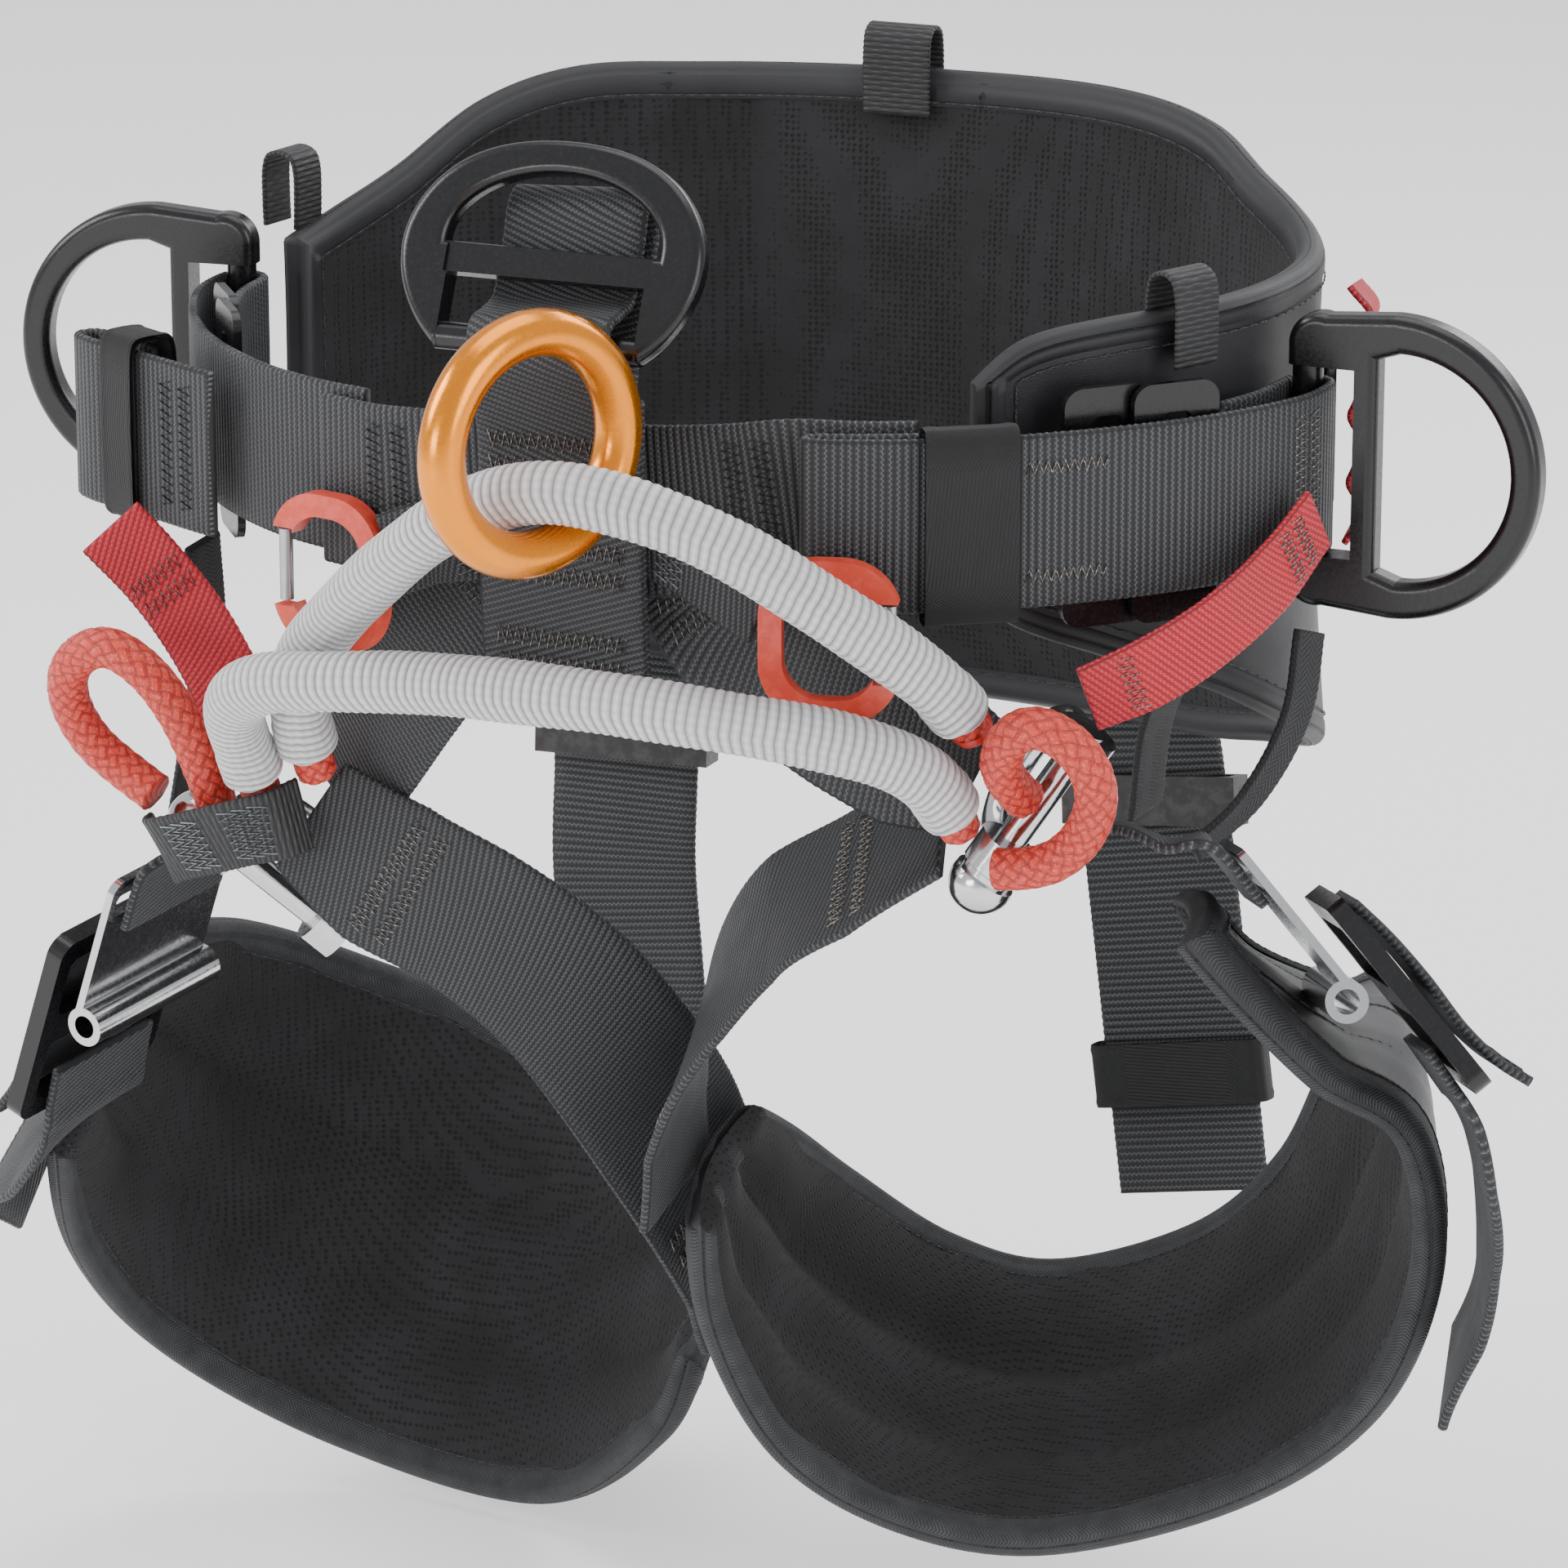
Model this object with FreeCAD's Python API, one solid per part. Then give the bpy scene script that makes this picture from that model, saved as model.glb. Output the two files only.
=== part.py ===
import FreeCAD, Part
import math
import os

# Tree climbing saddle: a padded waist belt and two padded leg loops, joined by 45 mm webbing.
# Millimetres. Z is up, the wearer faces -Y, and +X is to the right of someone who looks at the front.
# The origin is the middle of the waist opening, at the height of the front belt webbing.

V = FreeCAD.Vector
UP = (0, 0, 1)

# ---- webbing and tapes ----
web_width = 45.0
web_thickness = 2.6
doubled_web_thickness = 5.0
layer_gap = 0.5
red_web_width = 20.0
red_web_thickness = 1.8
tape_width = 20.0
gear_tape_width = 22.0
tape_thickness = 1.8
elastic_width = 12.0
elastic_thickness = 2.0
keeper_thickness = 1.6
keeper_clearance = 1.2

# ---- waist pad ----
waist_half_width = 143.0
waist_half_depth = 105.0
# the hand-placed points below are drawn for a waist opening of these half sizes
drawn_half_width = 143.0
drawn_half_depth = 105.0
pad_thickness = 8.0
pad_flare = 5.0
belt_stand_off = 3.2
# each station of the waist pad: angle from +X, top height, bottom height
waist_stations = [(-52, 30, -26), (-46, 41, -35), (-36, 45, -44), (-20, 46, -58), (0, 47, -78),
                  (20, 48, -94), (38, 54, -104), (50, 64, -110), (65, 68, -113), (90, 67, -114),
                  (113, 66, -110), (128, 65, -105), (140, 57, -97), (152, 41, -76), (163, 32, -54),
                  (173, 27, -38)]

# ---- leg pads ----
leg_pad_thickness = 9.0
leg_pad_bulge = 5.0
# each station: a point on the back rim and the matching point on the front rim
left_leg_stations = [((-171, -6, -170), (-184, -62, -222)), ((-166, 30, -180), (-192, -38, -262)),
                     ((-146, 62, -198), (-185, -4, -302)), ((-116, 77, -213), (-144, 18, -332)),
                     ((-82, 77, -228), (-78, 10, -336)), ((-55, 66, -240), (-34, -12, -302)),
                     ((-42, 48, -250), (-20, -18, -272))]
left_leg_centre = (-100, -20, -250)
right_leg_stations = [((19, -44, -186), (21, -86, -206)), ((15, -8, -204), (22, -80, -238)),
                      ((18, 28, -228), (36, -68, -274)), ((36, 54, -252), (62, -54, -294)),
                      ((62, 66, -260), (98, -42, -299)),
                      ((100, 72, -246), (148, -34, -281)), ((124, 70, -222), (184, -38, -250)),
                      ((140, 60, -190), (201, -48, -208)), ((160, 34, -160), (200, -63, -168)),
                      ((161, -1, -151), (184, -85, -148)), ((149, -52, -128), (164, -100, -122)),
                      ((141, -76, -104), (153, -106, -107))]
right_leg_centre = (95, -20, -225)

# ---- side D-rings ----
dring_height = 80.0
dring_arc_centre = 24.0
dring_frame_width = 10.0
dring_thickness = 9.0
dring_post_radius = 4.0
dring_bar_place = 17.0
dring_bar_width = 6.0
dring_slot_room = 5.0
dring_rounding = 2.6
side_dring_left_place = (-153.0, -4.0, -2.0)
side_dring_right_place = (158.5, -20.0, 2.0)
side_dring_left_turn = 186.0
side_dring_right_turn = -2.0

# ---- front D-ring ----
front_dring_place = (-7.0, -133.0, 42.0)
front_dring_lean = 26.0
front_dring_thickness = 7.0
front_dring_half_width = 41.0
front_dring_bar_place = 20.0
front_dring_bar_width = 8.0
front_dring_bar_thickness = 5.0
front_dring_frame_width = 9.0
front_dring_rounding = 2.4

# ---- bridge ring ----
bridge_ring_middle_radius = 28.0
bridge_ring_section_radius = 6.0
bridge_ring_centre = (6.5, -169.0, 26.0)
bridge_ring_turn = -27.0

# ---- ropes ----
rope_radius = 5.5
sleeve_radius = 8.0
sleeve_wall = 1.6

# ---- hip links ----
link_rod_radius = 4.0
link_bolt_length = 46.0
link_bolt_clearance = 0.05
link_eye_radius = 8.0
link_reach = 27.0
link_head_radius = 8.5
link_left_place = (-117.0, -103.0, -107.0)
link_left_along = (0.66, 0.36, -0.66)
link_left_reach = (0.2, 0.9, 0.0)
link_right_place = (103.0, -102.0, -92.0)
link_right_along = (0.54, 0.1, 0.83)
link_right_reach = (-0.5, 0.85, 0.1)

# ---- buckles and sliders ----
plate_thickness = 2.2
belt_plate_end = 7.5
slot_room = 2.0
belt_plate_width = 24.0
leg_plate_length = 46.0
leg_plate_side = 2.5
leg_frame_length = 60.0
leg_frame_side = 5.25
leg_frame_room = 2.5
leg_frame_thickness = 5.0
leg_frame_drop = 32.0
leg_frame_offset = 10.0
leg_buckle_pin_radius = 5.5
leg_buckle_pin_bore = 3.2
slider_height = 14.0
slider_clearance = 1.3
rear_keeper_height = 18.0
slider_wall = 2.6
slider_thickness = 2.4

# ---- gear clips ----
clip_height = 42.0
clip_width = 36.0
clip_section = 6.0
clip_thickness = 5.0
clip_gate_radius = 1.8
clip_gate_length = 19.0
clip_gate_gap = 21.0

# A cord's route is straight runs joined by arcs.
lower_bridge_route = [(-97, -112, -92), (-97.5, -122, -76), (-94, -136.5, -60), (-80, -147, -50),
                      (-57, -153, -46), (-32, -154, -43), (-3, -159, -41), (27, -160, -41),
                      (54, -155, -44), (76, -144, -49), (90, -130, -57), (96, -117, -68),
                      (97, -108, -80)]
upper_bridge_route = [(-83, -108, -85), (-83, -119, -68), (-78, -128, -50), (-61, -139, -32),
                      (-41, -152, -14), (-18, -163, 4), (7, -168, 15), (32, -166, 12), (56, -159, 2),
                      (76, -148, -14), (91, -134, -29), (99.5, -122, -41.5), (102, -113, -52)]
left_eye_route = [(-109, -113, -98), (-112, -117, -84), (-116, -122, -69), (-123.5, -125.5, -57),
                  (-135, -126, -51), (-147, -123, -58), (-151, -118, -70), (-146, -115, -82),
                  (-137, -112.5, -90), (-127.5, -113.5, -95)]
right_eye_route = [(115, -109, -70), (111, -118, -62), (115, -124.5, -50), (124, -127, -44),
                   (135, -125, -50), (139, -120, -63), (133, -116, -77), (122, -116, -86),
                   (110, -115.5, -87)]


def vec(point):
    return V(*point)


def spot(x, y, z):
    """A hand-placed point, moved with the waist opening when that changes size."""
    return V(x * waist_half_width / drawn_half_width, y * waist_half_depth / drawn_half_depth, z)


def unit(direction):
    v = V(*direction)
    return v.normalize()


def square_to(across, along):
    """The part of across that is square to along, at length 1."""
    return (across - along * across.dot(along)).normalize()


def tangents(points):
    last = len(points) - 1
    return [(points[min(i + 1, last)] - points[max(i - 1, 0)]).normalize() for i in range(last + 1)]


def save(name, *shapes):
    shape = shapes[0] if len(shapes) == 1 else Part.makeCompound(list(shapes))
    shape.exportStep("parts/%s.step" % name)


def smoothed(stations, steps):
    """Stations added between the given ones, on a smooth curve that keeps to uneven spacing."""
    rows = [(vec(place), unit(across), size) for place, across, size in stations]
    first = rows[0][0] * 2 - rows[1][0]
    final = rows[-1][0] * 2 - rows[-2][0]
    places = [first] + [row[0] for row in rows] + [final]
    result = []
    for i in range(len(rows) - 1):
        a, b, c, d = places[i:i + 4]
        t = [0.0]
        for p, q in ((a, b), (b, c), (c, d)):
            t.append(t[-1] + max((q - p).Length, 0.01) ** 0.5)
        for k in range(steps):
            share = k / steps
            s = t[1] + (t[2] - t[1]) * share
            ab = a * ((t[1] - s) / t[1]) + b * (s / t[1])
            bc = b * ((t[2] - s) / (t[2] - t[1])) + c * ((s - t[1]) / (t[2] - t[1]))
            cd = c * ((t[3] - s) / (t[3] - t[2])) + d * ((s - t[2]) / (t[3] - t[2]))
            abc = ab * ((t[2] - s) / t[2]) + bc * (s / t[2])
            bcd = bc * ((t[3] - s) / (t[3] - t[1])) + cd * ((s - t[1]) / (t[3] - t[1]))
            place = abc * ((t[2] - s) / (t[2] - t[1])) + bcd * ((s - t[1]) / (t[2] - t[1]))
            across = rows[i][1] * (1 - share) + rows[i + 1][1] * share
            result.append((place, across, rows[i][2] * (1 - share) + rows[i + 1][2] * share))
    return result + [rows[-1]]


def ribbon(stations, width, thickness, steps=3):
    """Webbing through stations: a centre, the direction across it, and a narrower width if any."""
    rows = smoothed([(s[0], s[1], s[2] if len(s) > 2 else width) for s in stations], steps)
    centres = [row[0] for row in rows]
    sections = []
    for (centre, across, wide), along in zip(rows, tangents(centres)):
        side = square_to(across, along)
        face = along.cross(side).normalize()
        corners = [centre + side * (i * wide / 2) + face * (j * thickness / 2)
                   for i, j in ((-1, -1), (1, -1), (1, 1), (-1, 1))]
        sections.append(Part.makePolygon(corners + [corners[0]]))
    return Part.makeLoft(sections, True, True)


def strap(stations, width, thickness, steps=3):
    """A ribbon through hand-placed stations."""
    return ribbon([(spot(*s[0]),) + tuple(s[1:]) for s in stations], width, thickness, steps)


def plan_strap(plan, height, width, thickness):
    """A strap on edge through plan points, all at one height."""
    return ribbon([(point if isinstance(point, V) else spot(point[0], point[1], height), UP)
                   for point in plan], width, thickness)


def arc_points(centre, radius, start, end, steps, height):
    """Points round a vertical bar, between two angles."""
    angles = [math.radians(start + (end - start) * k / steps) for k in range(steps + 1)]
    return [V(centre.x + radius * math.cos(a), centre.y + radius * math.sin(a), height) for a in angles]


def waist_point(angle, offset, height):
    a = math.radians(angle)
    flare = pad_flare * (height / 100.0) ** 2
    return V((waist_half_width + offset + flare) * math.cos(a),
             (waist_half_depth + offset + flare) * math.sin(a), height)


def spline(points):
    curve = Part.BSplineCurve()
    curve.interpolate(points)
    return curve.toShape()


def layer_section(inner, outer):
    """A closed section with a smooth inner and a smooth outer side."""
    back = list(reversed(outer))
    return Part.Wire([spline(inner), Part.makeLine(inner[-1], back[0]), spline(back),
                      Part.makeLine(back[-1], inner[0])])


def waist_layer(near, far):
    """The waist pad between two offsets from the waist opening."""
    sections = []
    for angle, top, bottom in waist_stations:
        heights = [bottom + (top - bottom) * k / 4.0 for k in range(5)]
        sections.append(layer_section([waist_point(angle, near, h) for h in heights],
                                      [waist_point(angle, far, h) for h in heights]))
    return Part.makeLoft(sections, True, False)


def leg_rows(stations, centre, depth):
    """Rows of points across a leg pad, moved out from the thigh by depth."""
    backs = [spot(*back) for back, front in stations]
    fronts = [spot(*front) for back, front in stations]
    middle = [(b + f) * 0.5 for b, f in zip(backs, fronts)]
    rows = []
    for b, f, m, along in zip(backs, fronts, middle, tangents(middle)):
        over = (f - b).normalize()
        out = square_to(along.cross(over), along)
        if out.dot(m - spot(*centre)) < 0:
            out = out * -1
        row = []
        for share in (0.0, 0.25, 0.5, 0.75, 1.0):
            lift = leg_pad_bulge * 4 * share * (1 - share)
            row.append(b + (f - b) * share + out * (lift + depth))
        rows.append(row)
    return rows


def leg_layer(stations, centre, near, far):
    pairs = zip(leg_rows(stations, centre, near), leg_rows(stations, centre, far))
    return Part.makeLoft([layer_section(inner, outer) for inner, outer in pairs], True, False)


def corner_radii(points):
    radii = []
    for a, b, c in zip(points, points[1:], points[2:]):
        turn = (b - a).getAngle(c - b)
        radii.append(0.45 * min((b - a).Length, (c - b).Length) / math.tan(turn / 2))
    return radii


def route_wire(points, radii):
    edges = []
    start = points[0]
    for a, b, c, radius in zip(points, points[1:], points[2:], radii):
        before = (b - a).normalize()
        after = (c - b).normalize()
        turn = before.getAngle(after)
        cut = radius * math.tan(turn / 2)
        inward = (after - before).normalize()
        middle = b + inward * (radius / math.cos(turn / 2) - radius)
        edges.append(Part.LineSegment(start, b - before * cut).toShape())
        edges.append(Part.Arc(b - before * cut, middle, b + after * cut).toShape())
        start = b + after * cut
    edges.append(Part.LineSegment(start, points[-1]).toShape())
    return Part.Wire(edges)


def tube(name, points, radii, radius):
    """A round cord along a route, with its radii and its volume against section times length."""
    wire = route_wire(points, radii)
    circle = Part.Wire([Part.makeCircle(radius, points[0], points[1] - points[0])])
    solid = wire.makePipeShell([circle], True, False)
    expected = math.pi * radius ** 2 * wire.Length
    print("%s: length %.1f mm, radii %s, volume over section times length %.4f"
          % (name, wire.Length, [round(r) for r in radii], solid.Volume / expected))
    return solid


def sleeve(name, points, radii, start, end):
    """A tubular sleeve over a route, from a share of its first run to a share of its last run."""
    middle = points[1:-1]
    trimmed = [points[0] * (1 - start) + points[1] * start] + middle
    trimmed += [points[-2] * (1 - end) + points[-1] * end]
    outside = tube(name, trimmed, radii, sleeve_radius)
    bore_wire = route_wire(points, radii)
    circle = Part.Wire([Part.makeCircle(sleeve_radius - sleeve_wall, points[0], points[1] - points[0])])
    return outside.cut(bore_wire.makePipeShell([circle], True, False))


def frame_placement(origin, along_x, along_z):
    """A placement with its local X and Z along the given directions."""
    z = unit(along_z)
    x = square_to(vec(along_x), z)
    y = z.cross(x)
    matrix = FreeCAD.Matrix(x.x, y.x, z.x, origin[0], x.y, y.y, z.y, origin[1],
                            x.z, y.z, z.z, origin[2], 0, 0, 0, 1)
    return FreeCAD.Placement(matrix)


def placed(shape, placement):
    moved = shape.copy()
    moved.Placement = placement.multiply(moved.Placement)
    return moved


def slab(width, height, thickness):
    """A plate centred on the origin, its thickness along Z."""
    return Part.makeBox(width, height, thickness, V(-width / 2, -height / 2, -thickness / 2))


def round_slab(width, height, thickness, corner):
    plate = slab(width, height, thickness)
    upright = [e for e in plate.Edges if abs(e.tangentAt(e.FirstParameter).z) > 0.9]
    return plate.makeFillet(corner, upright)


def extruded(wire, thickness):
    """A face with its middle in the XY plane."""
    face = Part.Face(wire)
    face.translate(V(0, 0, -thickness / 2))
    return face.extrude(V(0, 0, thickness))


# ---- hardware ----
def side_dring():
    """Local X runs out from the post, local Y up the post. The post is the hinge."""
    half = dring_height / 2
    arc = dring_arc_centre
    back = dring_post_radius + 0.5
    side = half - 9
    outer = Part.Wire([
        Part.makeLine(V(-back, -side, 0), V(-back, side, 0)),
        Part.Arc(V(-back, side, 0), V(-back + 2.6, half - 3.5, 0), V(6, half - 1.5, 0)).toShape(),
        Part.makeLine(V(6, half - 1.5, 0), V(arc, half, 0)),
        Part.Arc(V(arc, half, 0), V(arc + half, 0, 0), V(arc, -half, 0)).toShape(),
        Part.makeLine(V(arc, -half, 0), V(6, -half + 1.5, 0)),
        Part.Arc(V(6, -half + 1.5, 0), V(-back + 2.6, -half + 3.5, 0), V(-back, -side, 0)).toShape()])
    hole = half - dring_frame_width
    left = dring_bar_place + dring_bar_width / 2
    window = Part.Wire([
        Part.makeLine(V(left, -hole + 2, 0), V(left, hole - 2, 0)),
        Part.makeLine(V(left, hole - 2, 0), V(arc + 2, hole, 0)),
        Part.Arc(V(arc + 2, hole, 0), V(arc + 2 + hole, 0, 0), V(arc + 2, -hole, 0)).toShape(),
        Part.makeLine(V(arc + 2, -hole, 0), V(left, -hole + 2, 0))])
    body = extruded(outer, dring_thickness).cut(extruded(window, dring_thickness + 2))
    level = [e for e in body.Edges if abs(abs(e.CenterOfMass.z) - dring_thickness / 2) < 0.01]
    body = body.makeFillet(dring_rounding, level)
    slot_end = dring_bar_place - dring_bar_width / 2
    slot_height = web_width + dring_slot_room
    slot = slab(slot_end + 12, slot_height, dring_thickness + 2)
    slot.translate(V(slot_end / 2 - 6, 0, 0))
    post = Part.makeCylinder(dring_post_radius, slot_height + 2, V(0, -slot_height / 2 - 1, 0), V(0, 1, 0))
    return body.cut(slot).fuse(post).removeSplitter()


def front_dring():
    """Local X runs across, local Y up from the lower bar, which is the hinge."""
    wide = front_dring_half_width
    rim = [V(24, -5, 0), V(36, 6, 0), V(wide, 25, 0), V(32, 42, 0), V(0, 52, 0), V(-32, 42, 0),
           V(-wide, 25, 0), V(-36, 6, 0), V(-24, -5, 0)]
    outer = Part.Wire([spline(rim), Part.makeLine(rim[-1], rim[0])])
    sill = front_dring_bar_place + front_dring_bar_width / 2
    reach = wide - front_dring_frame_width - 2
    edge = [V(reach - 1, sill, 0), V(reach - 3, sill + 8, 0), V(17, 40, 0), V(0, 43.5, 0),
            V(-17, 40, 0), V(3 - reach, sill + 8, 0), V(1 - reach, sill, 0)]
    window = Part.Wire([spline(edge), Part.makeLine(edge[-1], edge[0])])
    body = extruded(outer, front_dring_thickness).cut(extruded(window, 20))
    level = [e for e in body.Edges if abs(abs(e.CenterOfMass.z) - front_dring_thickness / 2) < 0.01]
    body = body.makeFillet(front_dring_rounding, level)
    slot_top = front_dring_bar_place - front_dring_bar_width / 2
    slot = slab(54, slot_top - 3.6 + 10, 20)
    slot.translate(V(0, slot_top - (slot_top - 3.6 + 10) / 2, 0))
    body = body.cut(slot)
    foot = slab(48, 16, 20)
    foot.translate(V(0, -6, 0))
    body = body.cut(foot)
    for side in (-1, 1):
        shave = slab(56, front_dring_bar_width + 0.4, 4)
        shave.translate(V(0, front_dring_bar_place, side * (front_dring_bar_thickness / 2 + 2)))
        body = body.cut(shave)
    bar = Part.makeCylinder(3.5, 56, V(-28, 0, 0), V(1, 0, 0))
    return body.fuse(bar).removeSplitter()


def link_bolt(place, along):
    """A domed bolt that closes the hip link."""
    axis = unit(along)
    start = vec(place)
    shank = Part.makeCylinder(link_rod_radius, link_bolt_length, start, axis)
    dome = Part.makeSphere(link_head_radius, start - axis * 4)
    dome = dome.common(Part.makeCylinder(link_head_radius, 11, start - axis * 13, axis))
    neck = Part.makeCylinder(link_head_radius - 1.5, 2.6, start - axis * 2.5, axis)
    return shank.fuse([dome, neck]).removeSplitter()


def link_bow(place, along, reach):
    """A round bow with an eye at each end for the bolt."""
    axis = unit(along)
    out = square_to(vec(reach), axis)
    eye_length = 2 * link_rod_radius + 0.8
    near = vec(place) + axis * (0.6 + eye_length / 2)
    far = vec(place) + axis * (link_bolt_length - 0.4 - eye_length / 2)
    half = (far - near).Length / 2
    middle = (near + far) * 0.5
    straight = link_reach - half
    bend_start = near + out * straight
    bend_end = far + out * straight
    path = Part.Wire([Part.makeLine(near + out * 6, bend_start),
                      Part.Arc(bend_start, middle + out * link_reach, bend_end).toShape(),
                      Part.makeLine(bend_end, far + out * 6)])
    circle = Part.Wire([Part.makeCircle(link_rod_radius, near + out * 6, out)])
    bow = path.makePipeShell([circle], True, False)
    for end in (near, far):
        bow = bow.fuse(Part.makeCylinder(link_eye_radius, eye_length, end - axis * (eye_length / 2), axis))
    bore = Part.makeCylinder(link_rod_radius + link_bolt_clearance, link_bolt_length + 20,
                             vec(place) - axis * 10, axis)
    return bow.cut(bore).removeSplitter()


def belt_plate():
    slot_height = web_width + slot_room
    plate = round_slab(belt_plate_width, slot_height + 2 * belt_plate_end, plate_thickness, 5.0)
    return plate.cut(round_slab(8, slot_height, plate_thickness + 2, 2.0))


def leg_plate():
    """Local Y runs up the strap, local Z out of the plate."""
    slot_width = web_width + slot_room
    leg_plate_width = slot_width + 2 * leg_plate_side
    plate = round_slab(leg_plate_width, leg_plate_length, plate_thickness, 4.0)
    slot = round_slab(slot_width, 7, plate_thickness + 2, 2.0)
    slot.translate(V(0, leg_plate_length / 2 - 8, 0))
    end = -leg_plate_length / 2
    roll = Part.makeCylinder(leg_buckle_pin_radius, leg_plate_width, V(-leg_plate_width / 2, end, -3),
                             V(1, 0, 0))
    bore = Part.makeCylinder(leg_buckle_pin_bore, leg_plate_width + 2,
                             V(-leg_plate_width / 2 - 1, end, -3), V(1, 0, 0))
    return plate.cut(slot).fuse(roll).cut(bore).removeSplitter()


def leg_frame():
    """A rounded frame with two windows and a middle bar."""
    window_width = web_width + leg_frame_room
    frame = round_slab(window_width + 2 * leg_frame_side, leg_frame_length, leg_frame_thickness, 5.0)
    for side in (-1, 1):
        window = round_slab(window_width, leg_frame_length / 2 - 11, leg_frame_thickness + 2, 3.0)
        window.translate(V(0, side * (leg_frame_length / 4 - 1), 0))
        frame = frame.cut(window)
    return frame


def box_loop(width, along, thickness, wall):
    """A flat closed loop round a strap. Local X runs across the strap, local Y along it."""
    outer = slab(width + 2 * wall, along, thickness + 2 * wall)
    return outer.cut(slab(width, along + 2, thickness))


def clip_body():
    outer = round_slab(clip_width, clip_height, clip_thickness, 15.0)
    inner = round_slab(clip_width - 2 * clip_section, clip_height - 2 * clip_section,
                       clip_thickness + 2, 10.0)
    gap = slab(clip_section + 4, clip_gate_gap, clip_thickness + 2)
    gap.translate(V(-clip_width / 2 + clip_section / 2 - 1, 0, 0))
    return outer.cut(inner).cut(gap)


def clip_gate():
    place = -clip_width / 2 + clip_section / 2
    foot = -clip_gate_gap / 2 + 1.2
    return Part.makeCylinder(clip_gate_radius, clip_gate_length, V(place, foot, 0), V(0, 1, 0))


os.makedirs("parts", exist_ok=True)


# ---- pads ----
save("back_pad", waist_layer(0.0, pad_thickness))

for side, stations, centre in (("left", left_leg_stations, left_leg_centre),
                               ("right", right_leg_stations, right_leg_centre)):
    save("leg_pad_" + side, leg_layer(stations, centre, 0.0, leg_pad_thickness))

# ---- belt webbing ----
belt_offset = pad_thickness + belt_stand_off
save("belt_web_back", ribbon([(waist_point(angle, belt_offset, 0.0), UP)
                              for angle in range(12, 169, 12)], web_width, web_thickness))
loop_radius = dring_post_radius + 0.6 + web_thickness / 2
right_post = spot(*side_dring_right_place)
left_post = spot(*side_dring_left_place)
right_plan = [(145.5, -50), (150.5, -36)]
right_plan += arc_points(right_post, loop_radius, 180, 0, 6, 0)
right_plan += [(163.8, -32), (158.5, -46), (149, -62), (137, -77), (124, -90), (111, -101),
               (98, -110), (84, -117.5), (72, -122.3), (65, -124.6)]
right_plan += [(61.5, -124.4), (60.4, -121.9), (63, -119.8), (72, -116.6), (86, -110)]
save("belt_web_right", plan_strap(right_plan, 0, web_width, web_thickness))
left_plan = [(-139.5, -38), (-145.5, -20)]
left_plan += arc_points(left_post, loop_radius, 0, 180, 6, -3)
left_plan += [(-158.2, -18), (-152, -36), (-142, -54), (-129, -71), (-113, -86), (-98, -96.5),
              (-82, -104), (-66, -108.5)]
save("belt_web_left", plan_strap(left_plan, -3, web_width, web_thickness))
tail_plan = [(-119, -92.5), (-128, -88.5), (-140, -82.5), (-156, -75), (-167, -69.5), (-172, -64.5),
             (-169.5, -60.5), (-163, -62), (-153, -67.5), (-146, -71.5)]
save("belt_tail_left", plan_strap(tail_plan, -7, web_width, web_thickness))
yoke_plan = [((-78, -109.5, -5), UP), ((-60, -115.2, -5), UP), ((-40, -118, -4), UP),
             ((-18, -118.3, -3), UP), ((4, -118.3, -3), UP), ((24, -118, -2), UP),
             ((42, -117, 0), UP), ((56, -115, 2), UP), ((70, -111.8, 2), UP), ((84, -105.6, 2), UP)]
save("yoke_web", strap(yoke_plan, web_width, web_thickness))

# ---- front web and its loop round the front D-ring ----
ACROSS = (1, 0, 0.05)
save("ventral_web", strap([((-4, -127.2, 28), ACROSS), ((-4, -126.7, 0), ACROSS),
                           ((-4, -125.7, -25), ACROSS), ((-4, -123.7, -50), ACROSS)],
                          web_width, doubled_web_thickness))
ring_loop = [(-132, 4), (-132.2, 18), (-136, 30), (-139.2, 40), (-136.5, 47.8), (-130, 49.2),
             (-123, 50.8), (-118, 57.5), (-114.8, 66), (-111.8, 73.5), (-107.5, 76), (-104.5, 71), (-108, 60),
             (-114.5, 47), (-120, 33), (-121.9, 20), (-121.9, 4)]
save("ventral_ring_loop", strap([((-5, y, z), ACROSS) for y, z in ring_loop],
                                web_width - 6, web_thickness))

# ---- risers, leg webbing and rear straps ----
risers = {"left": [((-30, -113, -16), (-0.99, 0, 0.1)), ((-42, -110.8, -32), (-0.95, 0, 0.3)),
                   ((-53, -109.5, -46), (-0.9, 0, 0.42)), ((-64, -103, -60), (-0.82, 0.1, 0.55)),
                   ((-77, -94, -78), (-0.66, 0.2, 0.72)), ((-90, -85, -95), (-0.5, 0.1, 0.85), 34)],
          "right": [((28, -112.8, -14), (0.97, 0, 0.2)), ((38, -111.2, -32), (0.9, 0, 0.42)),
                    ((52, -110.5, -43), (0.78, 0, 0.6)), ((68, -107.5, -53), (0.62, 0.1, 0.78)),
                    ((84, -103.5, -62), (0.54, 0.1, 0.83)), ((98, -99.5, -69), (0.54, 0.1, 0.83), 34)]}
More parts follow.
